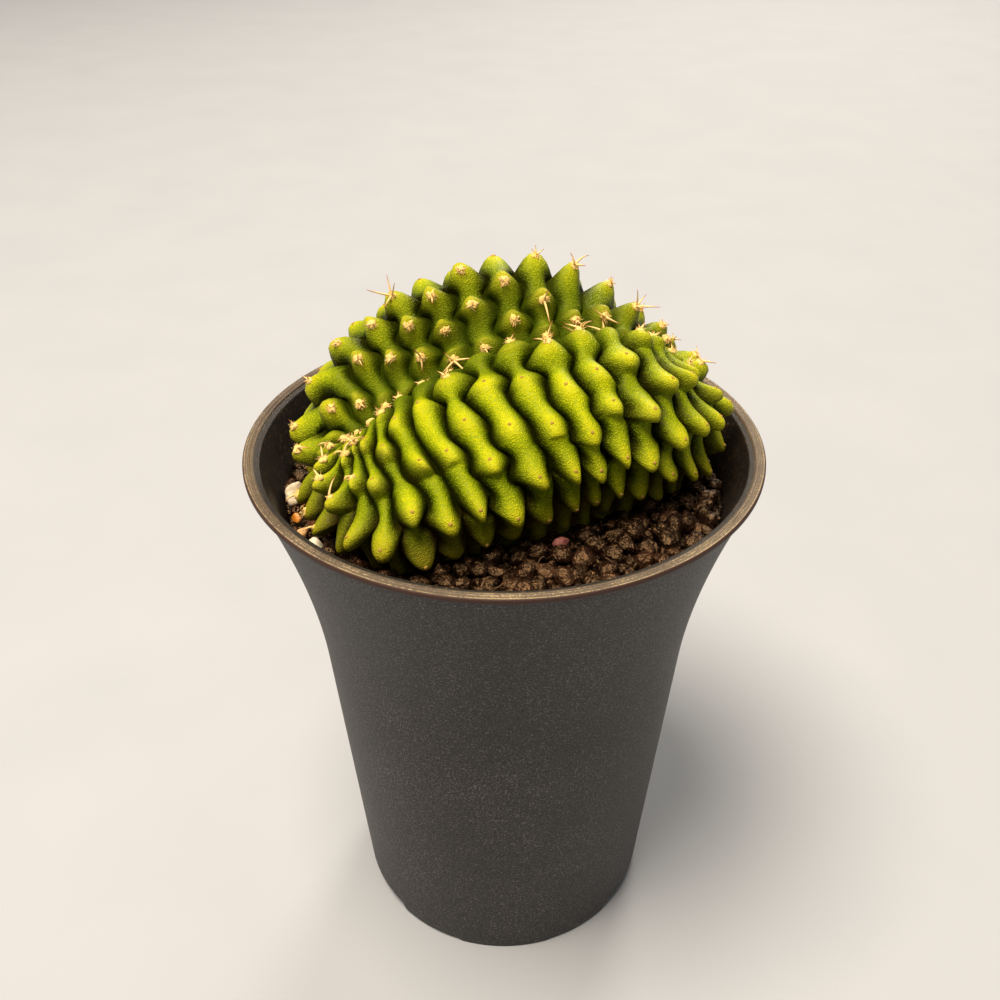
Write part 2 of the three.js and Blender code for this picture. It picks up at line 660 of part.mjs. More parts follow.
function makeSoil(skin) {
  const outline = [
    [0, FLOOR_TOP + GAP],
    [innerRadius(FLOOR_TOP) - GAP, FLOOR_TOP + GAP],
    ...[FLARE_START, 68, 76, 83, SOIL_LEVEL].map((z) => [innerRadius(z) - GAP - 0.1, z]),
    [0, SOIL_LEVEL],
  ];
  const parts = [solid(lathe(outline))];
  const draw = random(3);
  const rows = Math.ceil(2 * RIM_RADIUS / GRAIN_PITCH);
  const skinSpots = spotsOf(skin);
  const wall = innerRadius(SOIL_LEVEL) - GAP - 0.2;
  for (let row = -rows; row <= rows; row += 1) {
    for (let column = -rows; column <= rows; column += 1) {
      const x = (column + (row % 2) / 2 + GRAIN_JITTER * (draw() - 0.5)) * GRAIN_PITCH;
      const y = (row + GRAIN_JITTER * (draw() - 0.5)) * GRAIN_PITCH * ROW_SHARE;
      const seed = 100 + Math.floor(draw() * 100000);
      const centre = new THREE.Vector3(x, y, SOIL_LEVEL + 0.2);
      let room = GRAIN_RADIUS * (GRAIN_SIZES[0] + (GRAIN_SIZES[1] - GRAIN_SIZES[0]) * draw());
      room = Math.min(room, (wall - Math.hypot(x, y)) / LUMP_REACH[1]);
      for (const point of skinSpots) {
        room = Math.min(room, (centre.distanceTo(point) - SOIL_CLEARANCE) / LUMP_REACH[1]);
      }
      for (const [, , [bitX, bitY], radius, scale] of LOOSE) {
        const half = radius * LUMP_REACH[1] * Math.max(...scale);
        room = Math.min(room, (Math.hypot(x - bitX, y - bitY) - half - GAP) / LUMP_REACH[1]);
      }
      const inNeck = Math.hypot((x - NECK_CENTRE[0]) / NECK_SIZE[0], (y - NECK_CENTRE[1]) / NECK_SIZE[1]);
      if (room > SMALLEST_GRAIN && inNeck > 1) {
        const grain = lump(room, [1, 1, GRAIN_FLATNESS], seed);
        grain.rotateZ(draw() * Math.PI);
        grain.translate(...centre.toArray());
        parts.push(solid(grain));
      }
    }
  }
  return body(joined(parts).subtract(neck(GAP + 0.05, NECK_BOTTOM - GAP, SOIL_LEVEL + 10)));
}

// Assembly

const group = new THREE.Group();
const cactus = makeCactus();
group.add(piece('pot', geometryOf(makePot()), 0x3c3a38, 0.75));
group.add(piece('soil', geometryOf(makeSoil(makeSkin())), 0x241a14, 0.85));
group.add(piece('cactus', geometryOf(cactus), 0x8f9e1c, 0.45));
for (const bit of LOOSE) {
  group.add(makeLoose(bit));
}

export default group;
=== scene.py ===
"""A crested gymnocalycium in a small plastic pot of dark grit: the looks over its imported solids.

Shapes are in millimetres, +Z up, in the frame of the solids, and go to metres as a mesh is made.
-Y is the front, from where the lower lobe of the crest is seen.
"""

import math

import bpy
import numpy as np
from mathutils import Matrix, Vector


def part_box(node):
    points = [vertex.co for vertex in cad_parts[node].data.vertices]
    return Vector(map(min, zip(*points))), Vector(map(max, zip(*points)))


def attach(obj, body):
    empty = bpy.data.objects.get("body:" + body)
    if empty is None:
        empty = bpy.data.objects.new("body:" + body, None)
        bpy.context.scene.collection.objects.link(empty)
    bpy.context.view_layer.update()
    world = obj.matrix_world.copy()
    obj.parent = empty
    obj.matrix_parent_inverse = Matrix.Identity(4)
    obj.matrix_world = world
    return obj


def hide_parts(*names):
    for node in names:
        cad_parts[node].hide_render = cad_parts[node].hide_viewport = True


bl_info = {
    "name": "Potted crested gymnocalycium",
    "version": (1, 0, 0),
    "blender": (4, 5, 0),
    "location": "3D View > Sidebar > Cactus",
    "description": "Builds a crested cactus with its areoles and spines, its grit and its pot",
    "category": "Object",
}

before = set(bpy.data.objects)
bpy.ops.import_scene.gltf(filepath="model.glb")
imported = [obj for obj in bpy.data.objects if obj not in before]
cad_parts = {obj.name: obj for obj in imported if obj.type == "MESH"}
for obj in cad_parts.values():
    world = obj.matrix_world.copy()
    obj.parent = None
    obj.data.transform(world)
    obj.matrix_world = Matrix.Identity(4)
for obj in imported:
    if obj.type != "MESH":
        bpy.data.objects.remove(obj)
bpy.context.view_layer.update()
MM = 1000.0

# Crest: five points down every second rib, from the left end along the front to the right end,
# and back behind: the groove's edge, the crown, the belly, below it, and the foot.
RIBS = 36
RIBS_PER_STATION = 2
FOLD = 40  # rib k meets rib FOLD - k across the growing line
GROOVE_DEPTH = 2.0
FOOT_LEVEL = 90.0
STATIONS = (
    ((-25, -8.5, 103.2), (-28, -8.5, 103), (-31.4, -7.4, 99.2), (-30.1, -7.7, 94.3), (-27.8, -8.3, 90)),
    ((-24.5, -9.8, 103.2), (-26.7, -13.2, 102.5), (-29.3, -15.6, 98.6), (-28.6, -16.5, 94.2),
     (-26.4, -16.3, 90)),
    ((-23, -9, 104), (-23.9, -14.9, 103.3), (-24.3, -21.5, 100.4), (-24.6, -24, 96), (-23.2, -22, 90)),
    ((-20.5, -7.5, 105.6), (-20.9, -14.2, 105.1), (-17.9, -25.1, 102.8), (-17.2, -29, 97.6),
     (-16, -26.5, 90)),
    ((-16.5, -5.4, 108.2), (-15.6, -13.5, 106.6), (-10.1, -23.6, 104.1), (-7.9, -26.5, 98.6),
     (-7, -23.8, 90)),
    ((-8.6, -4, 112.4), (-7.4, -11, 110.6), (-2, -20.5, 106), (1.2, -23.5, 99.5), (1.5, -19, 90)),
    ((1.2, -3, 116.2), (3, -9.6, 113.3), (7.7, -17.5, 109), (10.2, -19, 102), (10, -14.5, 90)),
    ((11.6, -1.5, 117.6), (12.6, -6.8, 116.2), (16.5, -14.5, 110.3), (17.3, -15.5, 102), (16.5, -10.5, 90)),
    ((20, 1, 116.4), (22.8, -3.7, 115.2), (26, -10, 108.2), (25.5, -11.5, 101), (24, -7.5, 90)),
    ((25.5, 3.4, 112.8), (28.4, 0, 111), (32.3, -4.2, 105.4), (32, -5.5, 99), (30, -3, 90)),
    ((26.7, 5.6, 111.3), (29.8, 4.3, 108.9), (35.2, 2.8, 103.4), (34.9, 3.2, 97.4), (32.5, 4, 90)),
    ((25, 6.8, 112.2), (27.4, 9, 110.6), (31.5, 12.8, 105), (31.3, 14.3, 98.3), (29, 12.8, 90)),
    ((19.5, 5, 115.6), (20.6, 9.8, 116), (23, 18.8, 109.8), (23.5, 21.8, 100.5), (22, 19.5, 90)),
    ((11, 2.5, 117.8), (10.5, 10, 122.6), (12, 21, 113.5), (11.5, 25, 101.5), (10.5, 22, 90)),
    ((2, 0.5, 117), (-1, 8.5, 124.6), (-2, 20.5, 115), (-1.5, 24, 101.5), (-1, 21, 90)),
    ((-8, -0.2, 113.6), (-12, 7.5, 121.6), (-14, 18, 112.5), (-13.5, 20.5, 100), (-12.5, 18, 90)),
    ((-16, -2.4, 109.4), (-21, 5, 116.3), (-25, 12.5, 109), (-24.5, 14, 98.5), (-22, 12, 90)),
    ((-21.5, -5.5, 105.8), (-27.2, 0, 109.7), (-31.6, 2.2, 103.8), (-31, 2.8, 96.5), (-28, 2, 90)),
)
# Distances along each rib from the growing line to its chins. Further chins follow CHIN_PITCH apart.
CHIN_PITCH = 8.3
CHINS = (
    (3.2, 10, 17.5), (5.5, 13.5, 20), (8.2, 15.5, 22), (4, 12.2, 18.5), (2, 9.5, 17, 24.5),
    (8.3, 16, 24.2), (1.5, 9.5, 18.7, 28), (4.5, 12.9, 25.5, 33.5), (8.8, 19, 28.3, 36),
    (8.8, 19.5, 27.6, 35), (6.4, 15.3, 22.6, 30, 37), (1.6, 9.7, 18.4, 25.7, 33.5),
    (3.5, 11, 20, 25.8, 33), (6, 14.2, 21.7, 26.6, 33.5), (4.5, 12.8, 17.9, 24.5, 31.5),
    (3, 10.5, 18.9, 25.7, 33), (6, 14.2, 22.8, 28.5, 35), (4.5, 12.3, 19.7, 27, 34),
    (1.6, 9.4, 17.5, 25.5), (4.4, 12.7, 21), (7.2, 15.5, 23.8), (1.5, 9.8, 18.1, 26.4),
    (5.5, 13.8, 22.1), (1, 9.3, 17.6, 25.9), (1.5, 7.5, 14.5, 22), (4.7, 12.6, 21, 29),
    (3.9, 12.4, 20.5, 28.5), (2.6, 7.5, 14.8, 23, 31), (5.6, 11.5, 19.5, 27.5),
    (3.3, 9.5, 15, 23, 31), (3.6, 8, 13.2, 21, 29), (5.8, 11, 16.3, 24, 32),
    (1.8, 7.8, 14.3, 22, 30), (3, 10.6, 16, 24, 31), (5.4, 15.8, 23.5), (7.2, 14.5, 21.5),
)
MOST_CHINS = 12  # on a rib
COLUMNS_PER_RIB = 16
ROWS = 150
ROW_SHARES = (0, 0.09, 0.3, 0.58, 0.8, 1)  # where the stations' points come among the rows

# Lobes: the ribs where each begins, is full, is last full and ends.
FRONT_LOBE = (7, 9.5, 13, 16)
BACK_LOBE = (21, 24, 33, 36)
# Form of a rib at the ends of the crest, in the front lobe and in the back lobe.
HORNED_FROM = (1.5, 17.5, 1.0)  # mm down the rib
HORNED_OVER = (11, 11, 6.5)  # mm in which it grows fully horned
WIND = (0.14, 0.2, 0.18)  # of its width, that its furrows wind to each side
NOTCH = (0.2, 0.24, 0.4)  # of its height, that it loses between tubercles
RIB_LOSS = (0.4, 0, 0.7)  # mm less of height
SINK = (1.9, 1.9, 1.6)  # mm from the mean surface down to a furrow
POINTED = (0.9, 1.6, 1.4)  # how much it narrows towards a horned chin
HORN = (1.2, 1, 0.8)  # share of a chin's height
DROP = (1.02, 1.7, 1.105)  # mm that a horned chin is drawn down the rib
FADING = (7, 14, 7)  # mm above the foot, in which it fades out
YOUNG = (8, 8, 15)  # mm of young skin
# Form of a rib anywhere.
CHIN_AT = 0.84  # of the way along its tubercle
FURROW_CROWDING = 0.8  # how much closer the columns are in a furrow than on a rib
SOFT_SWELL_AT = 0.78  # of the way, where a soft tubercle is highest
SOFTEST = 0.1  # sharpness of a tubercle without a horn
AGED = (3, 10)  # mm down the rib, from where and to where the ends' tubercles part
AGED_WIND = 0.07
AGED_NOTCH = 0.24
HORNED_NOTCH = 0.14
BELLY = (8, 11, 18, 27)  # mm down a front rib, where its belly begins, is full, is last full, ends
BELLY_CALM = 0.45  # share of the waists that the belly lacks
CROWN_WAIST = 0.7  # share of them that the front crown has more
RIDGE_SQUARENESS = 2.4
RIDGE_POWER = 0.62
CHIN_NARROWING = 0.15
NUB_ABOVE = 2.6  # mm that a chin's nub reaches up the rib, and less where it is horned
NUB_HORNED = 0.6
NUB_BELOW = 1.25
GROWN = (0.2, 4.5)  # mm from the growing line, where a rib begins to rise and stands full
ROOMY = (0.8, 4.2)  # mm between furrows, with which a rib begins to rise and stands full
LEAST_ROOM = 0.35

NECK_BOTTOM = 86.0
NECK_SIZE = (25.0, 15.5)
NECK_CENTRE = (2.0, -0.5)
NECK_TURN = math.radians(17)
WALL_CLEARANCE = 0.8

# Areoles and spines.
ABOVE_CHIN = 1.4  # mm up the rib from a chin to its areole
NEWEST = 0.9  # mm from the growing line to a rib's newest areole
NEWEST_ROOM = 2.2  # mm that must be free above the next one
FIRST = 0.8  # mm from the growing line, above which none stands
LAST_ABOVE_FOOT = 5
BARE_RIBS = (5, 21)  # between these the areoles soon lose their wool
BARE_AFTER = (3.5, 8)  # mm down such a rib, from where and to where they lose it
WORN_AFTER = (12, 20)  # the same for the other ribs
LEFT_END = 8  # the ribs before this one are at the left end
# Section of a cushion: out and up, in shares of its radius.
CUSHION = ((1.0, -0.4), (0.86, 0.12), (0.6, 0.32), (0.3, 0.42))
CUSHION_SIDES = 14
CROWN_UP = 0.45
ROOT_DOWN = 0.5
HAIRS = 26
HAIR_RADII = (0.045, 0.04, 0.03, 0.012)
SPINE_STEPS = 9

# Pot: radii and heights of its wall, lip and foot.
POT_HEIGHT = 98.5
RIM_RADIUS = 42.5
FOOT_RADIUS = 27.8
WALL_TAPER = 7.82
FLARE_START = 58.8
FLARE_GROWTH = 6.53
FLARE_POWER = 1.89
WALL_THICKNESS = 1.9
LIP_HEIGHT = 0.9
LIP_WIDTH = 1.75
INNER_RING_WIDTH = 1.0
FLOOR_UNDERSIDE = 3.0
FLOOR_TOP = 5.0
# Round the foot from inside: mm in from its radius, height, and 1 where the edge is lifted.
FOOT_SECTION = (
    (WALL_THICKNESS, FLOOR_UNDERSIDE, 0), (WALL_THICKNESS, FLOOR_UNDERSIDE - 0.12, 0),
    (WALL_THICKNESS, 0.1, 1), (WALL_THICKNESS - 0.1, 0, 1), (0.3, 0, 1), (0.08, 0.06, 1), (0, 0.3, 1),
)
# Over the lip's two rings from outside: mm in from the rim and mm below the top.
LIP_SECTION = (
    (0.14, 0.9), (0.02, 0.76), (0, 0.55), (0.02, 0.22), (0.16, 0.03), (0.34, 0), (0.62, 0.02),
    (0.8, 0.14), (0.95, 0.14), (1.1, 0.03), (1.35, 0.02), (1.63, 0.05), (1.75, 0.2), (1.75, 0.4),
    (1.85, 0.45), (2.45, 0.47), (2.67, 0.57), (2.75, 0.85),
)
PAD_HALF_ANGLE = 18
EDGE_LIFT = 0.5
SLOT_HEIGHT = 2.0
SLOT_HALF_ANGLE = 15
SLOT_ANGLES = (60, 120, 240, 300)
DRAIN_RADIUS = 3.2
DRAIN_CIRCLE = 14.0
DRAIN_COUNT = 4

SOIL_LEVEL = 89.6
SOIL_SIDE_GAP = 0.35
SOIL_FLOOR_GAP = 0.3
BED_DEPTH = 0.3  # of the bed's mean top under the soil's level
BED_WAVE = 0.35
BED_HEIGHTS = (FLOOR_TOP + SOIL_FLOOR_GAP, 20, 40, FLARE_START, 68, 76, 83, SOIL_LEVEL - 0.5)
# Grains, loose grains and crumbs: their pitch and their least and greatest radius in grain sizes,
# least and greatest height over the soil's level in mm, and segments and rings of each globe.
GRAIN_LAYERS = (
    (1.05, 0.42, 0.55, 0.6, 1.6, 14, 9),
    (0.9, 0.22, 0.36, 0.0, 1.2, 10, 7),
    (0.55, 0.08, 0.16, -0.3, 0.5, 6, 4),
)
FIBRES = 26
FIBRE_STEPS = 10
# Loose bits: the slot, sharpness of the edges and seed of each, and its material: what it is, its
# dark, middle and light tone, and its roughness.
BITS = {
    "pebble_cream_large": ("cream_stone", 5.0, 41,
                           "limestone_tumbled_cream", (0xA8977A, 0xCFC2A6, 0xE0D6BE), 0.75),
    "pebble_cream_small": ("cream_stone", 5.0, 42,
                           "limestone_tumbled_pale", (0xB5A88C, 0xD8CFB8, 0xE8E0CC), 0.75),
    "pebble_tan": ("tan_stone", 6.0, 43, "sandstone_tumbled_tan", (0x8A5F35, 0xB98A55, 0xCFA874), 0.7),
    "grain_amber": ("amber_grain", 9.0, 44, "resin_grain_amber", (0x7A3F0C, 0xC77A22, 0xE0A04A), 0.3),
    "chip_bark": ("bark", 12.0, 45, "pine_bark_chipped", (0x33190B, 0x6B3B1C, 0x8F5A30), 0.85),
    "chip_pink": ("pink_chip", 12.0, 46, "terracotta_chip_pink", (0x6E3B38, 0x9A5A52, 0xBE8078), 0.7),
}

# Stage, in metres.
FLOOR_HALF = 4.0
CAMERA_PLACE = (-0.00056, -0.1564, 0.1915)
CAMERA_TURN = (math.radians(55.98), math.radians(0.06), 0)
CAMERA_LENS = 39.6
CAMERA_SENSOR = 36
LIGHT_TARGET = (0, 0, 0.1)
# Place, size, share of the power and colour.
LIGHTS = {
    "key": ((-0.3, -0.25, 1.4), 0.78, 1.0, 0xFFEED6),
    "back": ((0.4, 1.25, 0.9), 0.55, 0.4, 0xFFF2DE),
}

# Small maths


def smooth(x, low, high):
    """Rises from 0 to 1 between low and high, level at both ends."""
    t = np.clip((x - low) / (high - low), 0, 1)
    return t * t * (3 - 2 * t)


def hill(x, places):
    """Rises from 0 to 1 between the first two places and falls back between the other two."""
    start, full, last, end = places
    return smooth(x, start, full) * (1 - smooth(x, last, end))


def turns(count):
    """Even angles round a circle."""
    return 2 * np.pi * np.arange(count) / count


def unit(vectors):
    """Vectors of length 1."""
    return vectors / (np.linalg.norm(vectors, axis=-1, keepdims=True) + 1e-12)


def spline(a, b, c, d, t):
    """A Catmull-Rom curve from b to c."""
    cube = 3 * b - a - 3 * c + d
    return 0.5 * (2 * b + (c - a) * t + (2 * a - 5 * b + 4 * c - d) * t * t + cube * t**3)


def outer_radius(z):
    """The pot's wall: a straight taper, with a power curve added where it flares."""
    flare = np.clip((z - FLARE_START) / (POT_HEIGHT - FLARE_START), 0, 1)
    return FOOT_RADIUS + WALL_TAPER * z / POT_HEIGHT + FLARE_GROWTH * flare**FLARE_POWER


def linear(hex_colour):
    """An sRGB hex colour as linear RGBA."""
    values = []
    for shift in (16, 8, 0):
        v = (hex_colour >> shift & 255) / 255
        values.append(v / 12.92 if v <= 0.04045 else ((v + 0.055) / 1.055) ** 2.4)
    return (*values, 1.0)


# Meshes


def add_piece(name, points, faces, marks=None):
    """A mesh object of points in mm and arrays of faces, with named values at its points."""
    mesh = bpy.data.meshes.new(name)
    counts = np.concatenate([np.full(len(part), part.shape[1]) for part in faces])
    corners = np.concatenate([part.reshape(-1) for part in faces])
    mesh.vertices.add(len(points))
    mesh.vertices.foreach_set("co", (np.asarray(points) / MM).astype(np.float32).ravel())
    mesh.loops.add(len(corners))
    mesh.loops.foreach_set("vertex_index", corners.astype(np.int32))
    mesh.polygons.add(len(counts))
    mesh.polygons.foreach_set("loop_start", (np.cumsum(counts) - counts).astype(np.int32))
    mesh.update(calc_edges=True)
    if not len(counts) or mesh.validate():
        raise RuntimeError(f"{name} has no faces, or broken ones")
    mesh.shade_smooth()
    for mark, values in (marks or {}).items():
        layer = mesh.attributes.new(mark, "FLOAT", "POINT")
        layer.data.foreach_set("value", np.asarray(values, np.float32).ravel())
    piece = bpy.data.objects.new(name, mesh)
    bpy.context.scene.collection.objects.link(piece)
    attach(piece, "root")
    return piece


def grid_faces(columns, rows):
    """Quads of a grid closed round its columns, whose point (column, row) is number
    column * rows + row."""
    i = np.arange(columns)[:, None] * rows
    k = np.roll(i, -1, 0)
    j = np.arange(rows - 1)[None]
    return np.stack([i + j, i + j + 1, k + j + 1, k + j], -1).reshape(-1, 4)


def turned(rows, turn, lift):
    """A section of radii and heights turned about the upright axis from the front, with lift on
    top of the heights, and flat ends from its first and last row to the axis."""
    count = len(rows)
    grid = np.stack([
        rows[:, 0] * np.sin(turn)[:, None],
        -rows[:, 0] * np.cos(turn)[:, None],
        rows[:, 1] + lift,
    ], -1)
    first = np.arange(len(turn)) * count
    last = first + count - 1
    middle = np.full(len(turn), len(turn) * count)
    below = np.stack([middle, np.roll(first, -1), first], -1)
    above = np.stack([middle + 1, last, np.roll(last, -1)], -1)
    points = np.concatenate([grid.reshape(-1, 3), [[0, 0, rows[0, 1]], [0, 0, rows[-1, 1]]]])
    return points, [grid_faces(len(turn), count)[:, ::-1], below, above]


def tubes(paths, radii, sides):
    """A round tube along each of n paths of m points: a ring of sides about every point, square
    to the path, and a flat cap at both ends. Gives points (n, m, sides, 3) and the faces."""
    count, steps, _ = paths.shape
    along = unit(np.gradient(paths, axis=1))
    helper = np.where(np.abs(along[:, :1, 2:]) > 0.9, [[[1.0, 0, 0]]], [[[0, 0, 1.0]]])
    side = unit(np.cross(along, np.broadcast_to(helper, along.shape)))
    other = np.cross(along, side)
    turn = turns(sides)[:, None]
    rings = side[:, :, None] * np.cos(turn) + other[:, :, None] * np.sin(turn)
    points = paths[:, :, None] + rings * radii[:, :, None, None]
    start = (np.arange(count) * steps * sides)[:, None, None]
    base = start + np.arange(steps - 1)[None, :, None] * sides
    a = np.arange(sides)
    b = (a + 1) % sides
    walls = np.stack([base + a, base + b, base + sides + b, base + sides + a], -1).reshape(-1, 4)
    first = a[::-1] + start[:, :, 0]
    last = a + start[:, :, 0] + (steps - 1) * sides
    return points, [walls, first, last]


def lumps(centres, radii, draw, segments, rings, sharp=9.0, squash=0.85):
    """Rounded stones. Each is a globe whose radius in a direction is the distance to a few random
    planes round it, blended by a power mean, so it has flat sides with round edges."""
    count = len(centres)
    tilt = np.pi * np.arange(1, rings) / rings
    turn = turns(segments)
    ball = np.stack([
        np.sin(tilt)[:, None] * np.cos(turn),
        np.sin(tilt)[:, None] * np.sin(turn),
        np.repeat(np.cos(tilt)[:, None], segments, 1),
    ], -1).reshape(-1, 3)
    ball = np.concatenate([[[0, 0, 1.0]], ball, [[0, 0, -1.0]]])
    planes = unit(draw.normal(size=(count, 11, 3)))
    heights = draw.uniform(0.72, 1.0, (count, 11))
    reach = np.maximum(0.02, np.einsum("vc,npc->nvp", ball, planes)) / heights[:, None]
    distance = np.clip((reach**sharp).sum(-1) ** (-1 / sharp), 0.6, 1.25)
    shape = ball * distance[..., None] * draw.uniform(0.85, 1.15, (count, 1, 3)) * [1, 1, squash]
    yaw = draw.uniform(0, 2 * np.pi, count)[:, None]
    spun = np.stack([
        shape[..., 0] * np.cos(yaw) - shape[..., 1] * np.sin(yaw),
        shape[..., 0] * np.sin(yaw) + shape[..., 1] * np.cos(yaw),
        shape[..., 2],
    ], -1)
    points = centres[:, None] + spun * radii[:, None, None]
    each = len(ball)
    start = (np.arange(count) * each)[:, None]
    end = start + 1 + (rings - 2) * segments
    a = np.arange(segments)
    b = (a + 1) % segments
    top = np.stack([start + 0 * a, start + 1 + a, start + 1 + b], -1).reshape(-1, 3)
    bottom = np.stack([start + each - 1 + 0 * a, end + b, end + a], -1).reshape(-1, 3)
    base = start[:, :, None] + (1 + np.arange(rings - 2) * segments)[:, None]
    walls = np.stack([base + a, base + segments + a, base + segments + b, base + b], -1)
    return points, [top, bottom, walls.reshape(-1, 4)]


# Crest


def crest_rings():
    """The stations, each with a sixth point in front: the groove's floor, shared with its partner."""
    stations = np.array(STATIONS, float)
    count = len(stations)
    partner = (FOLD // RIBS_PER_STATION - np.arange(count)) % count
    floor = (stations[:, 0] + stations[partner, 0]) / 2
    floor[:, 2] -= GROOVE_DEPTH
    return np.concatenate([floor[:, None], stations], 1)


def mean_surface(rib, v):
    """The crest without its ribs: closed splines through the rings along it, then a spline down
    each rib through its six points, from 0 at the groove's floor to 5 at the foot."""
    rings = crest_rings()
    count = len(rings)
    place = rib / RIBS_PER_STATION
    i = np.floor(place).astype(int)
    t = (place - i)[:, None, None]
    lines = spline(*(rings[(i + near) % count] for near in (-1, 0, 1, 2)), t)
    before = 2 * lines[:, :1] - lines[:, 1:2]
    after = 2 * lines[:, -1:] - lines[:, -2:-1]
    lines = np.concatenate([before, lines, after], 1)
    j = np.minimum(np.floor(v).astype(int), rings.shape[1] - 2)
    t = (v - j)[None, :, None]
    return spline(*(lines[:, j + near] for near in range(4)), t)


def chin_places(k):
    """Where a rib's chins are, with one before and some after them, CHIN_PITCH apart."""
    chins = CHINS[k % RIBS]
    return np.array([chins[0] - CHIN_PITCH, *chins, *(chins[-1] + CHIN_PITCH * np.arange(1, 5))])


def chin_phase(s, k):
    """How far along its tubercle a point is, from 0 in the notch behind one chin through CHIN_AT
    at the next chin to 1 in the notch, the tubercle's number on its rib and its length."""
    phase, length = np.zeros(s.shape), np.zeros(s.shape)
    for rib in np.unique(k):
        rows = (k == rib)[:, 0]
        places = chin_places(rib)
        order = np.arange(len(places)) - 1 + CHIN_AT
        phase[rows] = np.interp(s[rows], places, order)
        length[rows] = np.interp(s[rows], (places[1:] + places[:-1]) / 2, np.diff(places))
    return phase - np.floor(phase), np.floor(phase).astype(int), length


def swelling(t, sharp):
    """A swell over one tubercle. Where it is soft, it is as round above its chin as below. Where
    it is sharp, it rises slowly to the chin and falls steeply behind it."""
    soft = 0.5 + 0.5 * np.cos(2 * np.pi * (t - SOFT_SWELL_AT))
    hard = np.sin(np.pi * t**2.1) ** 1.4
    return soft + (hard - soft) * smooth(sharp, 0.12, 0.6)


def sampled(grid, column):
    """The grid's values at fractional columns, one for each of its rows."""
    low = np.floor(column).astype(int)
    share = (column - low)[..., None]
    row = np.arange(grid.shape[1])[None]
    count = len(grid)
    return grid[low % count, row] * (1 - share) + grid[(low + 1) % count, row] * share


def ribbed(mean, rib, rib_height, chin_height):
    """The skin over the mean surface. Across a rib the height is a rounded ridge. Along it, each
    tubercle swells and ends in a blunt nub, its chin, which is drawn out and down the rib. A rib
    is wide where it swells and narrow between, so the furrows wind from side to side."""
    down = np.gradient(mean, axis=1)
    across = (np.roll(mean, -1, 0) - np.roll(mean, 1, 0)) / 2
    normal = unit(np.cross(down, across))
    for _ in range(COLUMNS_PER_RIB // 2):
        normal = unit(np.roll(normal, 1, 0) + 2 * normal + np.roll(normal, -1, 0))
    width = np.linalg.norm(across, axis=2) * COLUMNS_PER_RIB
    lengths = np.linalg.norm(np.diff(mean, axis=1), axis=2)
    s = np.concatenate([np.zeros((len(mean), 1)), np.cumsum(lengths, 1)], 1)
    above_foot = s[:, -1:] - s
    k = np.floor(rib + 0.5).astype(int)[:, None]
    side = (rib[:, None] - k) * 2
    side = side + FURROW_CROWDING * np.sin(np.pi * side) / np.pi
    place = rib[:, None] % RIBS
    front, back = hill(place, FRONT_LOBE), hill(place, BACK_LOBE)

    def here(form):
        """A rib's form between the ends, the front lobe and the back lobe."""
        ends, fore, rear = form
        return ends + (fore - ends) * front + (rear - ends) * back

    sharp = SOFTEST + (1 - SOFTEST) * smooth(s, here(HORNED_FROM), here(HORNED_FROM) + here(HORNED_OVER))
    aged = here((1, 0, 0)) * smooth(s, *AGED)
    t, number, length = chin_phase(s, k)
    beside_t, _, _ = chin_phase(s, k + np.where(side >= 0, 1, -1))
    swell = swelling(t, sharp)

    # The furrows wind by what a rib swells more than the one beside it.
    waist = 1 - BELLY_CALM * front * hill(s, BELLY) + CROWN_WAIST * front * (1 - smooth(s, *BELLY[:2]))
    wind = waist * (here(WIND) + AGED_WIND * aged) * smooth(s, 0.8, 3.5) * smooth(above_foot, 0, 5)
    column = (k + side * (0.5 + wind * (swell - swelling(beside_t, sharp)))) * COLUMNS_PER_RIB
    mean, normal = sampled(mean, column), unit(sampled(normal, column))
    along = unit(np.gradient(mean, axis=1))

    # Each rib's ridge is narrower towards a chin, and the chin has a nub on it.
    vary = np.random.default_rng(2).uniform(-1, 1, (RIBS, MOST_CHINS))[k % RIBS, (number + 3) % MOST_CHINS]
    away = (t - CHIN_AT) * length
    reach = np.where(away < 0, NUB_ABOVE - NUB_HORNED * sharp, NUB_BELOW)
    nub = np.exp(-((away / reach) ** 2)) * hill(t, (0, 0.2, 0.9, 1.0))
    lean = hill(t, (0.2, CHIN_AT, 0.87, 1.0))
    power = RIDGE_POWER + (CHIN_NARROWING + here(POINTED) * sharp) * lean
    ridge = np.maximum(0, 1 - np.abs(side) ** RIDGE_SQUARENESS) ** power

    # It is lower where it is young, crowded or near the foot.
    grown = smooth(s, *GROWN)
    room = LEAST_ROOM + (1 - LEAST_ROOM) * smooth(width, *ROOMY)
    size = room * (0.25 + 0.75 * grown) * (0.35 + 0.65 * smooth(above_foot, 0, here(FADING)))
    notch = (here(NOTCH) + HORNED_NOTCH * sharp + AGED_NOTCH * aged) * waist * (1 + 0.15 * vary)
    mound = (rib_height - here(RIB_LOSS)) * ridge * (1 - notch + notch * swell)
    tip = (chin_height + 0.3 * vary) * sharp * here(HORN) * nub * ridge**1.3
    edge = smooth(s, 0, 1)
    height = edge * (size * (mound + tip) - room * here(SINK) * (0.3 + 0.7 * grown))
    drop = edge * size * here(DROP) * (sharp - SOFTEST) * lean * ridge
    points = mean + normal * height[..., None] + along * drop[..., None]
    # ridge and mound also set the skin's painted shade in the furrows and painted highlight on the swells.
    marks = {
        "ridge": ridge * (0.3 + 0.7 * grown),
        "chin": nub * ridge**2 * (0.3 + 0.7 * sharp),
        "mound": ridge * (1 - (0.3 + 0.3 * sharp) * waist * (1 - swell)),
        "from_growing_line": s,
        "young": 1 - smooth(s, 1, here(YOUNG)),
        "from_foot": above_foot,
    }
    return points, marks


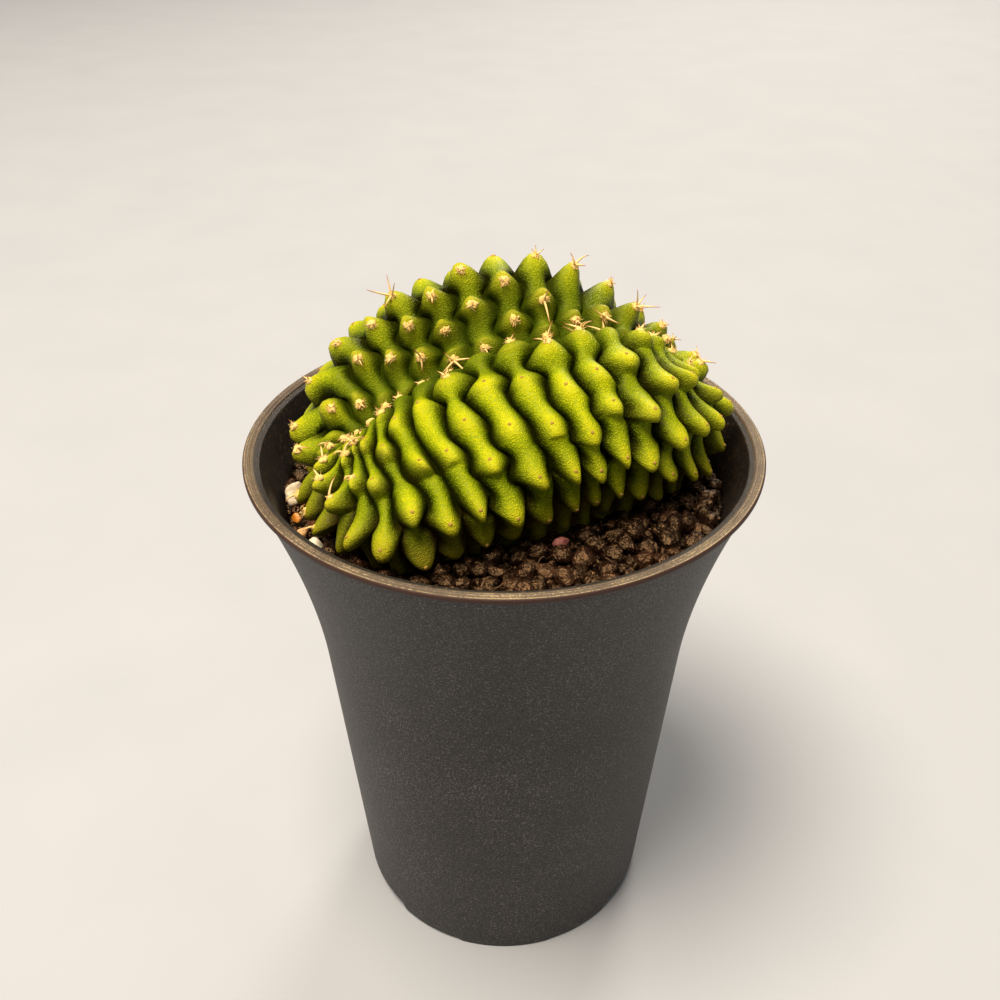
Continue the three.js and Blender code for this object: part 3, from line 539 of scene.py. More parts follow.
def inside_wall(points):
    """What grows against the pot's wall bends back from it, and leans out over the rim."""
    z = points[..., 2]
    mouth = RIM_RADIUS - LIP_WIDTH - INNER_RING_WIDTH
    below = np.minimum(mouth, outer_radius(np.minimum(z, POT_HEIGHT)) - WALL_THICKNESS)
    limit = below + 2 * np.maximum(0, z - POT_HEIGHT) - WALL_CLEARANCE
    reach = np.hypot(points[..., 0], points[..., 1])
    scale = np.minimum(1, limit / np.maximum(reach, 1e-6))
    return points * np.stack([scale, scale, np.ones_like(scale)], -1)


def crest_skin(settings):
    """The skin's grid of points (column, row, 3), its marks, the outward normals and the
    directions down the ribs."""
    rib = np.arange(RIBS * COLUMNS_PER_RIB) / COLUMNS_PER_RIB
    v = np.interp(np.linspace(0, 1, ROWS), ROW_SHARES, np.arange(len(ROW_SHARES)))
    points, marks = ribbed(mean_surface(rib, v), rib, settings.rib_height * MM, settings.chin_height * MM)
    points[..., 2] = np.maximum(points[..., 2], FOOT_LEVEL)
    points = inside_wall(points)
    down = np.gradient(points, axis=1)
    across = np.roll(points, -1, 0) - np.roll(points, 1, 0)
    return points, marks, unit(np.cross(down, across)), unit(down)


def make_skin(settings):
    """One closed shell: the skin's grid, whose first row is shared across the growing line, then
    the buried neck, drawn in to an ellipse, and its flat end."""
    points, marks, _, _ = crest_skin(settings)
    columns, rows, _ = points.shape
    a = np.arctan2(points[:, -1, 1] - NECK_CENTRE[1], points[:, -1, 0] - NECK_CENTRE[0]) - NECK_TURN
    oval = 1 / np.hypot(np.cos(a) / NECK_SIZE[0], np.sin(a) / NECK_SIZE[1])
    ring = np.stack([
        NECK_CENTRE[0] + oval * np.cos(a + NECK_TURN),
        NECK_CENTRE[1] + oval * np.sin(a + NECK_TURN),
        np.full(columns, NECK_BOTTOM),
    ], -1)
    level = np.array([0.35, 0.75, 1.0])[None, :, None]
    buried = points[:, -1:] * (1 - level) + ring[:, None] * level
    grid = np.concatenate([points, buried], 1)
    rows += level.shape[1]
    own = np.arange(columns)
    partner = (FOLD * COLUMNS_PER_RIB - own) % columns
    shared = np.arange(columns * rows)
    shared[own * rows] = np.minimum(own, partner) * rows
    faces = shared[grid_faces(columns, rows)]
    last = own * rows + rows - 1
    cap = np.stack([last, np.full(columns, columns * rows), np.roll(last, -1)], -1)
    flat = np.concatenate([grid.reshape(-1, 3), [[*NECK_CENTRE, NECK_BOTTOM]]])
    used = np.unique(np.concatenate([faces.ravel(), cap.ravel()]))
    renumber = np.zeros(len(flat), int)
    renumber[used] = np.arange(len(used))
    kept = {}
    for mark, values in marks.items():
        padded = np.pad(values, ((0, 0), (0, level.shape[1])), mode="edge").ravel()
        kept[mark] = np.append(padded, padded[-1])[used]
    piece = add_piece("cactus_skin", flat[used], [renumber[faces], renumber[cap]], kept)
    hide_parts("cactus")
    return piece


# Areoles and spines


def areole_places(settings):
    """Where areoles sit: on each tubercle just above its chin. Gives their centres, normals,
    downhill and sideways directions, distances from the growing line and ribs."""
    points, marks, normals, down = crest_skin(settings)
    places = []
    for k in range(RIBS):
        column = k * COLUMNS_PER_RIB
        s = marks["from_growing_line"][column]
        places_down = chin_places(k) - ABOVE_CHIN
        newest = [NEWEST] if places_down[1] > NEWEST_ROOM else []
        for place in (*newest, *places_down):
            if FIRST < place < s[-1] - LAST_ABOVE_FOOT:
                places.append((column, int(np.searchsorted(s, place)), place, k))
    column, row, s, k = (np.array(values) for values in zip(*places))
    normal, along = normals[column, row], unit(down[column, row])
    return points[column, row], normal, along, unit(np.cross(normal, along)), s, k


def areole_youth(s, k):
    """How much wool and how many spines an areole still has: on the front lobe they wear away
    soon below the growing line, and elsewhere later."""
    bare = (k > BARE_RIBS[0]) & (k < BARE_RIBS[1])
    return np.where(bare, 1 - smooth(s, *BARE_AFTER), 1 - smooth(s, *WORN_AFTER))


def make_wool(settings):
    """Each areole is a low round cushion with a ragged edge, and short curled hairs over it."""
    centre, normal, along, side, s, k = areole_places(settings)
    draw = np.random.default_rng(21)
    count = len(centre)
    youth = areole_youth(s, k)
    size = (settings.wool_size * MM * (0.35 + 0.65 * youth))[:, None]
    turn = turns(CUSHION_SIDES)[:, None]
    out, lift = np.array(CUSHION).T
    ragged = 1 + 0.16 * draw.normal(size=(count, CUSHION_SIDES))
    flat = (size * ragged)[..., None] * out
    rise = size[..., None] * (lift + 0.06 * draw.normal(size=(count, CUSHION_SIDES, len(lift))))
    shell = (centre[:, None, None] + side[:, None, None] * (flat * np.cos(turn))[..., None]
             + along[:, None, None] * (flat * np.sin(turn))[..., None]
             + normal[:, None, None] * rise[..., None])
    ends = np.stack([centre + normal * size * CROWN_UP, centre - normal * size * ROOT_DOWN], 1)
    points = np.concatenate([shell.reshape(count, -1, 3), ends], 1)
    each = points.shape[1]
    start = (np.arange(count) * each)[:, None]
    walls = (start[:, :, None] + grid_faces(CUSHION_SIDES, len(lift))[:, ::-1]).reshape(-1, 4)
    a = start + np.arange(CUSHION_SIDES) * len(lift)
    b = np.roll(a, -1, 1)
    top = np.stack([start + each - 2 + 0 * a, a + len(lift) - 1, b + len(lift) - 1], -1).reshape(-1, 3)
    bottom = np.stack([0 * a + start + each - 1, b, a], -1).reshape(-1, 3)

    angle = draw.uniform(0, 2 * np.pi, (count, HAIRS))[..., None]
    reach = np.sqrt(draw.uniform(0, 1, (count, HAIRS)))[..., None]
    size, normal = size[:, None], normal[:, None]
    outward = side[:, None] * np.cos(angle) + along[:, None] * np.sin(angle)
    base = centre[:, None] + outward * reach * size * 0.8 + normal * (0.32 - 0.3 * reach) * size
    length = draw.uniform(0.4, 0.9, (count, HAIRS))[..., None] * size * (0.45 + 0.55 * youth[:, None, None])
    curl = unit(draw.normal(size=(count, HAIRS, 3)))
    aim = unit(outward * (0.3 + reach) + normal * 0.8 + curl * 0.45)
    step = np.linspace(0, 1, len(HAIR_RADII))[:, None]
    bent = aim[:, :, None] * step + curl[:, :, None] * 0.35 * step**2
    path = (base[:, :, None] + bent * length[:, :, None]).reshape(-1, len(HAIR_RADII), 3)
    hair_points, hair_faces = tubes(path, np.repeat([HAIR_RADII], len(path), 0), 3)
    offset = count * each
    piece = add_piece(
        "areole_wool",
        np.concatenate([points.reshape(-1, 3), hair_points.reshape(-1, 3)]),
        [walls, top, bottom] + [part + offset for part in hair_faces],
        {"youth": np.concatenate([np.repeat(youth, each), np.repeat(youth, HAIRS * len(HAIR_RADII) * 3)])},
    )
    return piece


def make_spines(settings):
    """One to four spines from each young areole: a tapering tube that leans out from the
    cushion and bends back towards the body."""
    centre, normal, along, side, s, k = areole_places(settings)
    draw = np.random.default_rng(8)
    youth = areole_youth(s, k)
    owners, angles = [], []
    for i in np.flatnonzero(youth > 0.15):
        number = int(draw.integers(1, 3)) if k[i] < LEFT_END else int(draw.integers(2, 5))
        first = draw.uniform(0, 2 * np.pi)
        for n in range(number):
            owners.append(i)
            angles.append(first + 2 * np.pi * n / number + draw.uniform(-0.4, 0.4))
    owners, angles = np.array(owners), np.array(angles)[:, None]
    count = len(owners)
    at_left = k[owners] < LEFT_END
    strong = (draw.uniform(0, 1, len(centre))[owners] < 0.4) | (at_left & (s[owners] > 4))
    length = np.where(strong, draw.uniform(0.55, 1.05, count), draw.uniform(0.22, 0.42, count))
    length = length * settings.spine_length * MM
    rise = draw.uniform(0.5, 1.7, count)[:, None]
    bend = (draw.uniform(-0.15, 0.5, count) + 0.35 * (strong & at_left))[:, None, None]
    sway = draw.uniform(-0.25, 0.25, count)[:, None, None]
    centre, normal = centre[owners], normal[owners]
    aim = unit(side[owners] * np.cos(angles) + along[owners] * np.sin(angles) + normal * rise)
    cross = np.cross(aim, normal)
    centre, normal, aim, cross = (each[:, None] for each in (centre, normal, aim, cross))
    step = np.linspace(0, 1, SPINE_STEPS)[:, None]
    bent = aim * step - normal * bend * step**2 + cross * sway * step**2
    path = centre + normal * 0.15 + length[:, None, None] * bent
    thick = settings.spine_thickness * MM * (draw.uniform(0.4, 0.5, count) + 0.12 * strong)
    radii = thick[:, None] * (1 - 0.86 * step[:, 0] ** 1.3)
    points, faces = tubes(inside_wall(path), radii, 6)
    tip = np.broadcast_to(step, (count, SPINE_STEPS, 6))
    piece = add_piece("spines", points.reshape(-1, 3), faces, {"tip": tip})
    return piece


# Pot


def pot_profile():
    """The pot's section from the middle of its underside, round its foot, up the wall, over the
    lip and down inside to the middle of its floor, as (radius, height, is_foot_edge)."""
    lip_edge = POT_HEIGHT - LIP_HEIGHT
    edge = outer_radius(lip_edge) - 0.15
    floor = outer_radius(FLOOR_TOP) - WALL_THICKNESS
    heights = np.concatenate([np.linspace(2.4, 56, 18), np.linspace(FLARE_START, lip_edge - 0.5, 22)])
    inner = heights[(heights > FLOOR_TOP + 1) & (heights < 95)][::-1]
    rows = [(FOOT_RADIUS - inward, z, lifted) for inward, z, lifted in FOOT_SECTION]
    rows += [(outer_radius(z), z, 0) for z in heights]
    rows += [(edge, lip_edge - 0.12, 0), (edge + 0.05, lip_edge - 0.02, 0)]
    rows += [(RIM_RADIUS - inward, POT_HEIGHT - below, 0) for inward, below in LIP_SECTION]
    rows += [(outer_radius(95.5) - WALL_THICKNESS - 0.3, 95.6, 0)]
    rows += [(outer_radius(z) - WALL_THICKNESS, z, 0) for z in inner]
    rows += [(floor, FLOOR_TOP + 0.4, 0), (floor - 0.12, FLOOR_TOP + 0.1, 0), (floor - 0.4, FLOOR_TOP, 0)]
    return np.array(rows)


def foot_lift(turn):
    """How far the foot's edge is off the ground at each angle from the front: nothing on the four
    pads, a little beside them, and most in the slots. Front and back are alike."""
    degrees = np.degrees(turn) % 360
    pad = np.minimum(degrees % 180, 180 - degrees % 180)
    lift = EDGE_LIFT * hill(pad, (PAD_HALF_ANGLE - 0.6, PAD_HALF_ANGLE + 0.6, 75, 76))
    for middle in SLOT_ANGLES:
        off = np.abs((degrees - middle + 180) % 360 - 180)
        lift = np.where(off < SLOT_HALF_ANGLE, SLOT_HEIGHT, lift)
    return lift


def make_pot():
    """The section turned about the upright axis, with the foot's edge raised by foot_lift, and
    the drainage holes cut through the floor."""
    turn = turns(360)
    rows = pot_profile()
    radius, height, is_foot_edge = rows.T
    points, faces = turned(rows, turn, is_foot_edge * foot_lift(turn)[:, None])
    step = RIM_RADIUS - LIP_WIDTH
    inside = (np.arange(len(rows)) > np.argmax(height)) & (radius < step - 0.01)
    lip = (height > POT_HEIGHT - LIP_HEIGHT - 0.09) & (radius > step - INNER_RING_WIDTH - 0.01)
    edge = lip & (radius > RIM_RADIUS - 0.2)
    # lip marks the lip's top, where the material paints a reflection of the light in rings.
    marks = {
        mark: np.append(np.tile(where, len(turn)), middle)
        for mark, where, middle in (("inside", inside, [0, 1]), ("lip", lip, [0, 0]), ("edge", edge, [0, 0]))
    }
    piece = add_piece("pot_moulded", points, faces, marks)
    cut_drains(piece)
    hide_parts("pot")
    return piece


def cut_drains(piece):
    """Takes round posts out of the floor, one in the middle and the others on a circle."""
    sides = 32
    turn = turns(sides)
    out = turns(DRAIN_COUNT) + np.pi / 4
    spots = [(0.0, 0.0), *zip(DRAIN_CIRCLE * np.cos(out), DRAIN_CIRCLE * np.sin(out))]
    points, faces = [], []
    for number, (x, y) in enumerate(spots):
        for z in (FLOOR_UNDERSIDE - 1, FLOOR_TOP + 1):
            ring = [x + DRAIN_RADIUS * np.cos(turn), y + DRAIN_RADIUS * np.sin(turn), np.full(sides, z)]
            points.append(np.column_stack(ring))
        a = np.arange(sides) + number * 2 * sides
        b = np.roll(a, -1)
        faces += [np.stack([a, b, b + sides, a + sides], -1), a[::-1][None], (a + sides)[None]]
    cutter = add_piece("cutter", np.concatenate(points), faces)
    cut = piece.modifiers.new("drains", "BOOLEAN")
    cut.operation = "DIFFERENCE"
    cut.solver = "EXACT"
    cut.object = cutter
    graph = bpy.context.evaluated_depsgraph_get()
    mesh = bpy.data.meshes.new_from_object(piece.evaluated_get(graph))
    if not len(mesh.polygons):
        raise RuntimeError("The drainage holes could not be cut")
    piece.modifiers.clear()
    piece.data = mesh
    mesh.materials.clear()
    mesh.name = piece.name
    bpy.data.objects.remove(cutter)
    mesh.set_sharp_from_angle(angle=math.radians(50))


# Soil


def near_plant(settings, spots, clearance):
    """Which spots (n, 3) are less than clearance from the lower skin, or inside it."""
    points, _, _, _ = crest_skin(settings)
    coarse = points[::4]
    low = coarse[coarse[..., 2] < SOIL_LEVEL + 8][::3]
    clearance = np.broadcast_to(clearance, len(spots))
    near = np.zeros(len(spots), bool)
    for start in range(0, len(spots), 200):
        part = slice(start, start + 200)
        near[part] = np.linalg.norm(spots[part, None] - low, axis=2).min(1) < clearance[part]
    x, y = spots[:, 0] - NECK_CENTRE[0], spots[:, 1] - NECK_CENTRE[1]
    a = x * math.cos(NECK_TURN) + y * math.sin(NECK_TURN)
    b = y * math.cos(NECK_TURN) - x * math.sin(NECK_TURN)
    return near | (np.hypot(a / (NECK_SIZE[0] + 1), b / (NECK_SIZE[1] + 1)) < 1)


def near_bits(spots, radii):
    """Which spots would cover one of the loose bits."""
    near = np.zeros(len(spots), bool)
    for name in BITS:
        low, high = (np.array(corner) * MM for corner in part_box(name))
        off = np.abs(spots[:, :2] - (low + high)[:2] / 2) - (high - low)[:2] / 2
        near |= (off.max(1) < radii * 0.7) & (spots[:, 2] + radii * 0.8 > low[2] + 0.6)
    return near


def soil_spots(pitch, jitter, draw, reach):
    """Places on a jittered grid of triangles, within reach of the middle."""
    rows = int(2 * reach / pitch) + 2
    column, row = np.meshgrid(np.arange(-rows, rows + 1), np.arange(-rows, rows + 1))
    x = (column + 0.5 * (row % 2)).ravel() * pitch
    y = row.ravel() * pitch * 0.87
    spots = np.stack([x, y], -1) + draw.uniform(-jitter, jitter, (len(x), 2)) * pitch
    return spots[np.hypot(spots[:, 0], spots[:, 1]) < reach]


def make_bed():
    """The body of the soil: a turned block inside the pot, with crossed sine waves over its top."""
    turn = turns(160)
    side = [(outer_radius(z) - WALL_THICKNESS - SOIL_SIDE_GAP, z) for z in BED_HEIGHTS]
    top = [(side[-1][0] * share, SOIL_LEVEL - BED_DEPTH) for share in np.linspace(0.99, 0.02, 70)]
    rows = np.array(side + top)
    x = rows[:, 0] * np.sin(turn)[:, None]
    y = -rows[:, 0] * np.cos(turn)[:, None]
    wave = np.sin(1.9 * x + 0.7 * np.sin(1.3 * y)) * np.sin(1.7 * y + 1.1 * np.sin(1.1 * x))
    piece = add_piece("soil_bed", *turned(rows, turn, BED_WAVE * wave * (np.arange(len(rows)) >= len(side))))
    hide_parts("soil")
    return piece


def make_grains(settings):
    """Coarse rounded grains over the bed in two layers, with small crumbs between them."""
    draw = np.random.default_rng(5)
    grain = settings.grain_size * MM
    reach = outer_radius(SOIL_LEVEL) - WALL_THICKNESS - 0.2
    points, faces, tone = [], [], []
    offset = 0
    for pitch, small, large, low, high, segments, rings in GRAIN_LAYERS:
        flat = soil_spots(pitch * grain, 0.28, draw, reach - small)
        radii = draw.uniform(small, large, len(flat)) * grain
        radii = np.minimum(radii, (reach - np.hypot(flat[:, 0], flat[:, 1])) / 1.1)
        spots = np.column_stack([flat, SOIL_LEVEL + draw.uniform(low, high, len(flat)) - 0.1])
        keep = ~near_plant(settings, spots, radii * 0.8) & (radii > small * 2) & ~near_bits(spots, radii)
        part, part_faces = lumps(spots[keep], radii[keep], draw, segments, rings)
        points.append(part.reshape(-1, 3))
        faces += [piece_faces + offset for piece_faces in part_faces]
        tone.append(np.repeat(draw.uniform(0, 1, len(part)), part.shape[1]))
        offset += part.shape[0] * part.shape[1]
    piece = add_piece("soil_grains", np.concatenate(points), faces, {"tone": np.concatenate(tone)})
    return piece


def make_fibres(settings):
    """Fine roots and fibres that lie over the grains: random curves that keep close to the soil."""
    draw = np.random.default_rng(31)
    spots = soil_spots(3.4, 0.45, draw, outer_radius(SOIL_LEVEL) - WALL_THICKNESS - 4)
    spots = spots[draw.permutation(len(spots))]
    level = np.column_stack([spots, np.full(len(spots), SOIL_LEVEL + 1.6)])
    level = level[~near_plant(settings, level, 2.0)][:FIBRES]
    count = len(level)
    heading = draw.uniform(0, 2 * np.pi, count)[:, None]
    bend = draw.normal(0, 1.4, (count, 1))
    step = np.linspace(-0.5, 0.5, FIBRE_STEPS)
    stride = draw.uniform(2.5, 7.5, count)[:, None] / FIBRE_STEPS
    angle = heading + bend * step
    path = np.stack([
        level[:, :1] + np.cumsum(np.cos(angle), 1) * stride,
        level[:, 1:2] + np.cumsum(np.sin(angle), 1) * stride,
        level[:, 2:3] + 0.5 * np.sin(7 * step + heading) + 0.3,
    ], -1)
    radii = np.repeat(draw.uniform(0.04, 0.09, (count, 1)), FIBRE_STEPS, 1)
    points, faces = tubes(inside_wall(path), radii, 5)
    piece = add_piece("soil_fibres", points.reshape(-1, 3), faces)
    return piece


def make_bit(name):
    """A loose bit as one finely divided stone, stretched to the box of the solid it replaces."""
    slot, sharp, seed = BITS[name][:3]
    draw = np.random.default_rng(seed)
    low, high = (np.array(corner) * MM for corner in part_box(name))
    points, faces = lumps(np.zeros((1, 3)), np.ones(1), draw, 32, 20, sharp, 1.0)
    shape = points[0]
    wave = 0.03 * np.sin(9 * shape[:, 0] + 2 * shape[:, 1]) * np.sin(8 * shape[:, 1] + 7 * shape[:, 2])
    shape = shape * (1 + wave[:, None])
    first, last = shape.min(0), shape.max(0)
    piece = add_piece(name + "_fine", low + (shape - first) / (last - first) * (high - low), faces)
    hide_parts(name)
    return piece


# Materials


def add_node(material, kind, settings, links, output=0):
    """Adds a shader node, sets its inputs, properties and colour stops from settings, links
    sockets to its inputs and gives one of its outputs."""
    node = material.node_tree.nodes.new("ShaderNode" + kind)
    for key, value in settings.items():
        if key == "stops":
            elements = node.color_ramp.elements
            while len(elements) < len(value):
                elements.new(0.5)
            for element, (position, colour) in zip(elements, value):
                element.position = position
                element.color = colour
        elif isinstance(key, int) or key in node.inputs:
            node.inputs[key].default_value = value
        else:
            setattr(node, key, value)
    for key, socket in links.items():
        material.node_tree.links.new(socket, node.inputs[key])
    return node.outputs[output] if len(node.outputs) else None


def new_material(name):
    """A material without nodes."""
    material = bpy.data.materials.new(name)
    material.use_nodes = True
    material.node_tree.nodes.clear()
    return material


def skin_material(settings):
    """Waxy green cactus skin: light goes a little way in, it is covered in tiny raised dots, and its colour
    holds painted shade in the furrows and painted highlights where a tubercle swells.
    """
    m = new_material("cactus_skin_waxy")
    place = add_node(m, "TexCoord", {}, {}, "Object")
    ridge, chin, mound, young, foot = (
        add_node(m, "Attribute", {"attribute_name": mark}, {}, "Fac")
        for mark in ("ridge", "chin", "mound", "young", "from_foot")
    )
    # Cloudy patches about 5 mm across, and a fine mottle.
    patches = add_node(m, "TexNoise", {"Scale": MM / 5, "Detail": 3}, {"Vector": place})
    mottle = add_node(m, "TexNoise", {"Scale": MM / 0.6, "Detail": 4, "Roughness": 0.65}, {"Vector": place})
    # Raised dots about a third of a millimetre apart, as on the skin of a gymnocalycium.
    dots = add_node(m, "TexVoronoi", {"Scale": MM / 0.29}, {"Vector": place}, "Distance")
    beads = add_node(m, "MapRange", {"From Min": 0.1, "From Max": 0.55, "To Min": 1.0, "To Max": 0.0},
                     {"Value": dots})
    # Painted shade, darkest in the furrows, and painted highlight, lightest where a tubercle swells; the
    # patches, mottle and dots added next are the skin's own tones.
    lit = add_node(m, "Math", {"operation": "POWER", 1: 1.5}, {0: ridge})
    lit = add_node(m, "Math", {"operation": "MULTIPLY_ADD", 1: 0.75}, {0: lit, 2: mound})
    lit = add_node(m, "Math", {"operation": "MULTIPLY_ADD", 1: 0.6, 2: -0.46}, {0: lit})
    for weight, layer in ((0.3, patches), (0.34, mottle), (0.3, beads)):
        lit = add_node(m, "Math", {"operation": "MULTIPLY_ADD", 1: weight}, {0: layer, 2: lit})
    # The stops run from painted shade in the furrows to a painted highlight on the swells.
    colour = add_node(m, "ValToRGB", {"stops": (
        (0.12, settings.skin_furrow_painted_shade), (0.38, settings.skin_shade), (0.76, settings.skin_green),
        (1.0, settings.skin_painted_highlight),
    )}, {"Fac": lit})
    # Younger skin near the growing line is a duller green, and chins are paler and a little scorched.
    for share, mark, tint in ((0.6, young, 0x4A5C0A), (0.3, chin, 0xB09A38)):
        share = add_node(m, "Math", {"operation": "MULTIPLY", 1: share}, {0: mark})
        colour = add_node(m, "Mix", {"data_type": "RGBA", 7: linear(tint)}, {0: share, 6: colour}, 2)
    # Old skin in the last 13 mm above the soil is corky brown in patches.
    low = add_node(m, "MapRange", {"From Max": 13.0, "To Min": 1.0, "To Max": 0.0}, {"Value": foot})
    low = add_node(m, "Math", {"operation": "MULTIPLY", "use_clamp": True, 1: 1.7}, {0: low})
    low = add_node(m, "Math", {"operation": "MULTIPLY"}, {0: low, 1: patches})
    colour = add_node(m, "Mix", {"data_type": "RGBA", 7: linear(0x54401E)}, {0: low, 6: colour}, 2)
    rough = add_node(m, "Math", {"operation": "MULTIPLY_ADD", 1: 0.3, 2: 0.3}, {0: mottle})
    shine = add_node(m, "MapRange", {"From Max": 0.6, "To Min": 0.0, "To Max": 0.22}, {"Value": ridge})
    relief = add_node(m, "Math", {"operation": "MULTIPLY_ADD", 1: 0.5}, {0: mottle, 2: beads})
    normal = add_node(m, "Bump", {"Strength": 0.8, "Distance": 0.12 / MM}, {"Height": relief})
    shader = add_node(m, "BsdfPrincipled", {
        "Subsurface Weight": 0.1, "Subsurface Radius": (0.6, 1.0, 0.2), "Subsurface Scale": 1.2 / MM,
        "IOR": 1.42, "Specular Tint": linear(0xFFF0A0),
    }, {"Base Color": colour, "Roughness": rough, "Specular IOR Level": shine, "Normal": normal}, "BSDF")
    add_node(m, "OutputMaterial", {}, {"Surface": shader})
    return m


def wool_material(settings):
    """Felt of fine plant hairs: golden cream when young, grey-brown when worn."""
    m = new_material("areole_wool_felted")
    place = add_node(m, "TexCoord", {}, {}, "Object")
    youth = add_node(m, "Attribute", {"attribute_name": "youth"}, {}, "Fac")
    colour = add_node(m, "ValToRGB", {"stops": (
        (0.0, settings.wool_worn), (0.5, settings.wool_young), (1.0, settings.wool_young),
    )}, {"Fac": youth})
    # Darker between tufts about a third of a millimetre across.
    tufts = add_node(m, "TexNoise", {"Scale": MM / 0.35}, {"Vector": place})
    tufts = add_node(m, "Math", {"operation": "MULTIPLY", 1: 0.55}, {0: tufts})
    colour = add_node(m, "Mix", {"data_type": "RGBA", 7: linear(0xCC9238)}, {0: tufts, 6: colour}, 2)
    shader = add_node(m, "BsdfPrincipled", {
        "Roughness": 0.9, "Specular IOR Level": 0.2, "Sheen Weight": 0.15,
    }, {"Base Color": colour}, "BSDF")
    add_node(m, "OutputMaterial", {}, {"Surface": shader})
    return m


def spine_material(settings):
    """Horny spines: smooth and straw-coloured, with a red-brown point."""
    m = new_material("spine_horn")
    tip = add_node(m, "Attribute", {"attribute_name": "tip"}, {}, "Fac")
    colour = add_node(m, "ValToRGB", {"stops": (
        (0.0, settings.spine_colour), (0.55, settings.spine_colour), (0.95, settings.spine_tip),
    )}, {"Fac": tip})
    shader = add_node(m, "BsdfPrincipled", {"Roughness": 0.38, "Specular Tint": linear(0xFFE8B0)},
                      {"Base Color": colour}, "BSDF")
    add_node(m, "OutputMaterial", {}, {"Surface": shader})
    return m


def plastic_material(settings):
    """Injection-moulded polypropylene, charcoal: matt with a spark-eroded grain, a painted brown reflection
    of the light in rings over its lip, and earth dried on inside."""
    m = new_material("pot_polypropylene_moulded")
    place = add_node(m, "TexCoord", {}, {}, "Object")
    lip, inside, edge = (
        add_node(m, "Attribute", {"attribute_name": mark}, {}, "Fac") for mark in ("lip", "inside", "edge")
    )
    grain = add_node(m, "TexNoise", {"Scale": MM / 0.3, "Detail": 3, "Roughness": 0.65}, {"Vector": place})
    clouds = add_node(m, "TexNoise", {"Scale": MM / 12, "Detail": 4, "Roughness": 0.6}, {"Vector": place})
    # Dark pits and pale scuffed points in the moulded grain.
    speckle = add_node(m, "Math", {"operation": "MULTIPLY_ADD", 1: 0.15, 2: -0.075}, {0: clouds})
    speckle = add_node(m, "Math", {"operation": "ADD"}, {0: grain, 1: speckle})
    colour = add_node(m, "ValToRGB", {"stops": (
        (0.34, linear(0x0A0A0A)), (0.45, settings.pot_colour), (0.54, settings.pot_colour),
        (0.68, linear(0x6C6864)),
    )}, {"Fac": speckle})
    # A painted reflection of the light along the top of the lip, in rings about 0.3 mm wide, broken up by
    # the clouds.
    flat = add_node(m, "VectorMath", {"operation": "MULTIPLY", 1: (1, 1, 0)}, {0: place})
    radius = add_node(m, "VectorMath", {"operation": "LENGTH"}, {0: flat}, "Value")
    bands = add_node(m, "CombineXYZ", {}, {"X": radius})
    sheen_rings = add_node(m, "TexNoise", {"Scale": MM / 0.3, "Detail": 3}, {"Vector": bands})
    for weight, layer in ((0.5, clouds), (0.6, grain)):
        sheen_rings = add_node(m, "Math", {"operation": "MULTIPLY_ADD", 1: weight}, {0: layer, 2: sheen_rings})
    sheen_rings = add_node(m, "Math", {"operation": "MULTIPLY_ADD", 1: 1.3, 2: -0.65}, {0: sheen_rings})
    top = add_node(m, "ValToRGB", {"stops": (
        (0.5, settings.lip_edge), (0.65, settings.lip_painted_sheen), (0.8, settings.lip_painted_sheen),
        (0.95, linear(0xA89470)),
    )}, {"Fac": sheen_rings})
    # The lip's top takes the painted reflection in place of the grey.
    colour = add_node(m, "Mix", {"data_type": "RGBA"}, {0: lip, 6: colour, 7: top}, 2)
    colour = add_node(m, "Mix", {"data_type": "RGBA", 7: settings.lip_edge}, {0: edge, 6: colour}, 2)
    # Flecks of soil dried on inside, just under 1 mm across.
    flecks = add_node(m, "TexNoise", {"Scale": MM / 0.9, "Detail": 3, "Roughness": 0.8}, {"Vector": place})
    stain = add_node(m, "ValToRGB", {"stops": (
        (0.5, linear(0x120C08)), (0.6, linear(0x1E150E)), (0.7, linear(0x5A432A)),
    )}, {"Fac": flecks})
    colour = add_node(m, "Mix", {"data_type": "RGBA"}, {0: inside, 6: colour, 7: stain}, 2)
    rough = add_node(m, "Math", {"operation": "MULTIPLY_ADD", 1: 0.15, 2: 0.45}, {0: clouds})
    normal = add_node(m, "Bump", {"Strength": 0.9, "Distance": 0.12 / MM}, {"Height": grain})
    shader = add_node(m, "BsdfPrincipled", {"IOR": 1.49, "Specular IOR Level": 0.35},
                      {"Base Color": colour, "Roughness": rough, "Normal": normal}, "BSDF")
    add_node(m, "OutputMaterial", {}, {"Surface": shader})
    return m


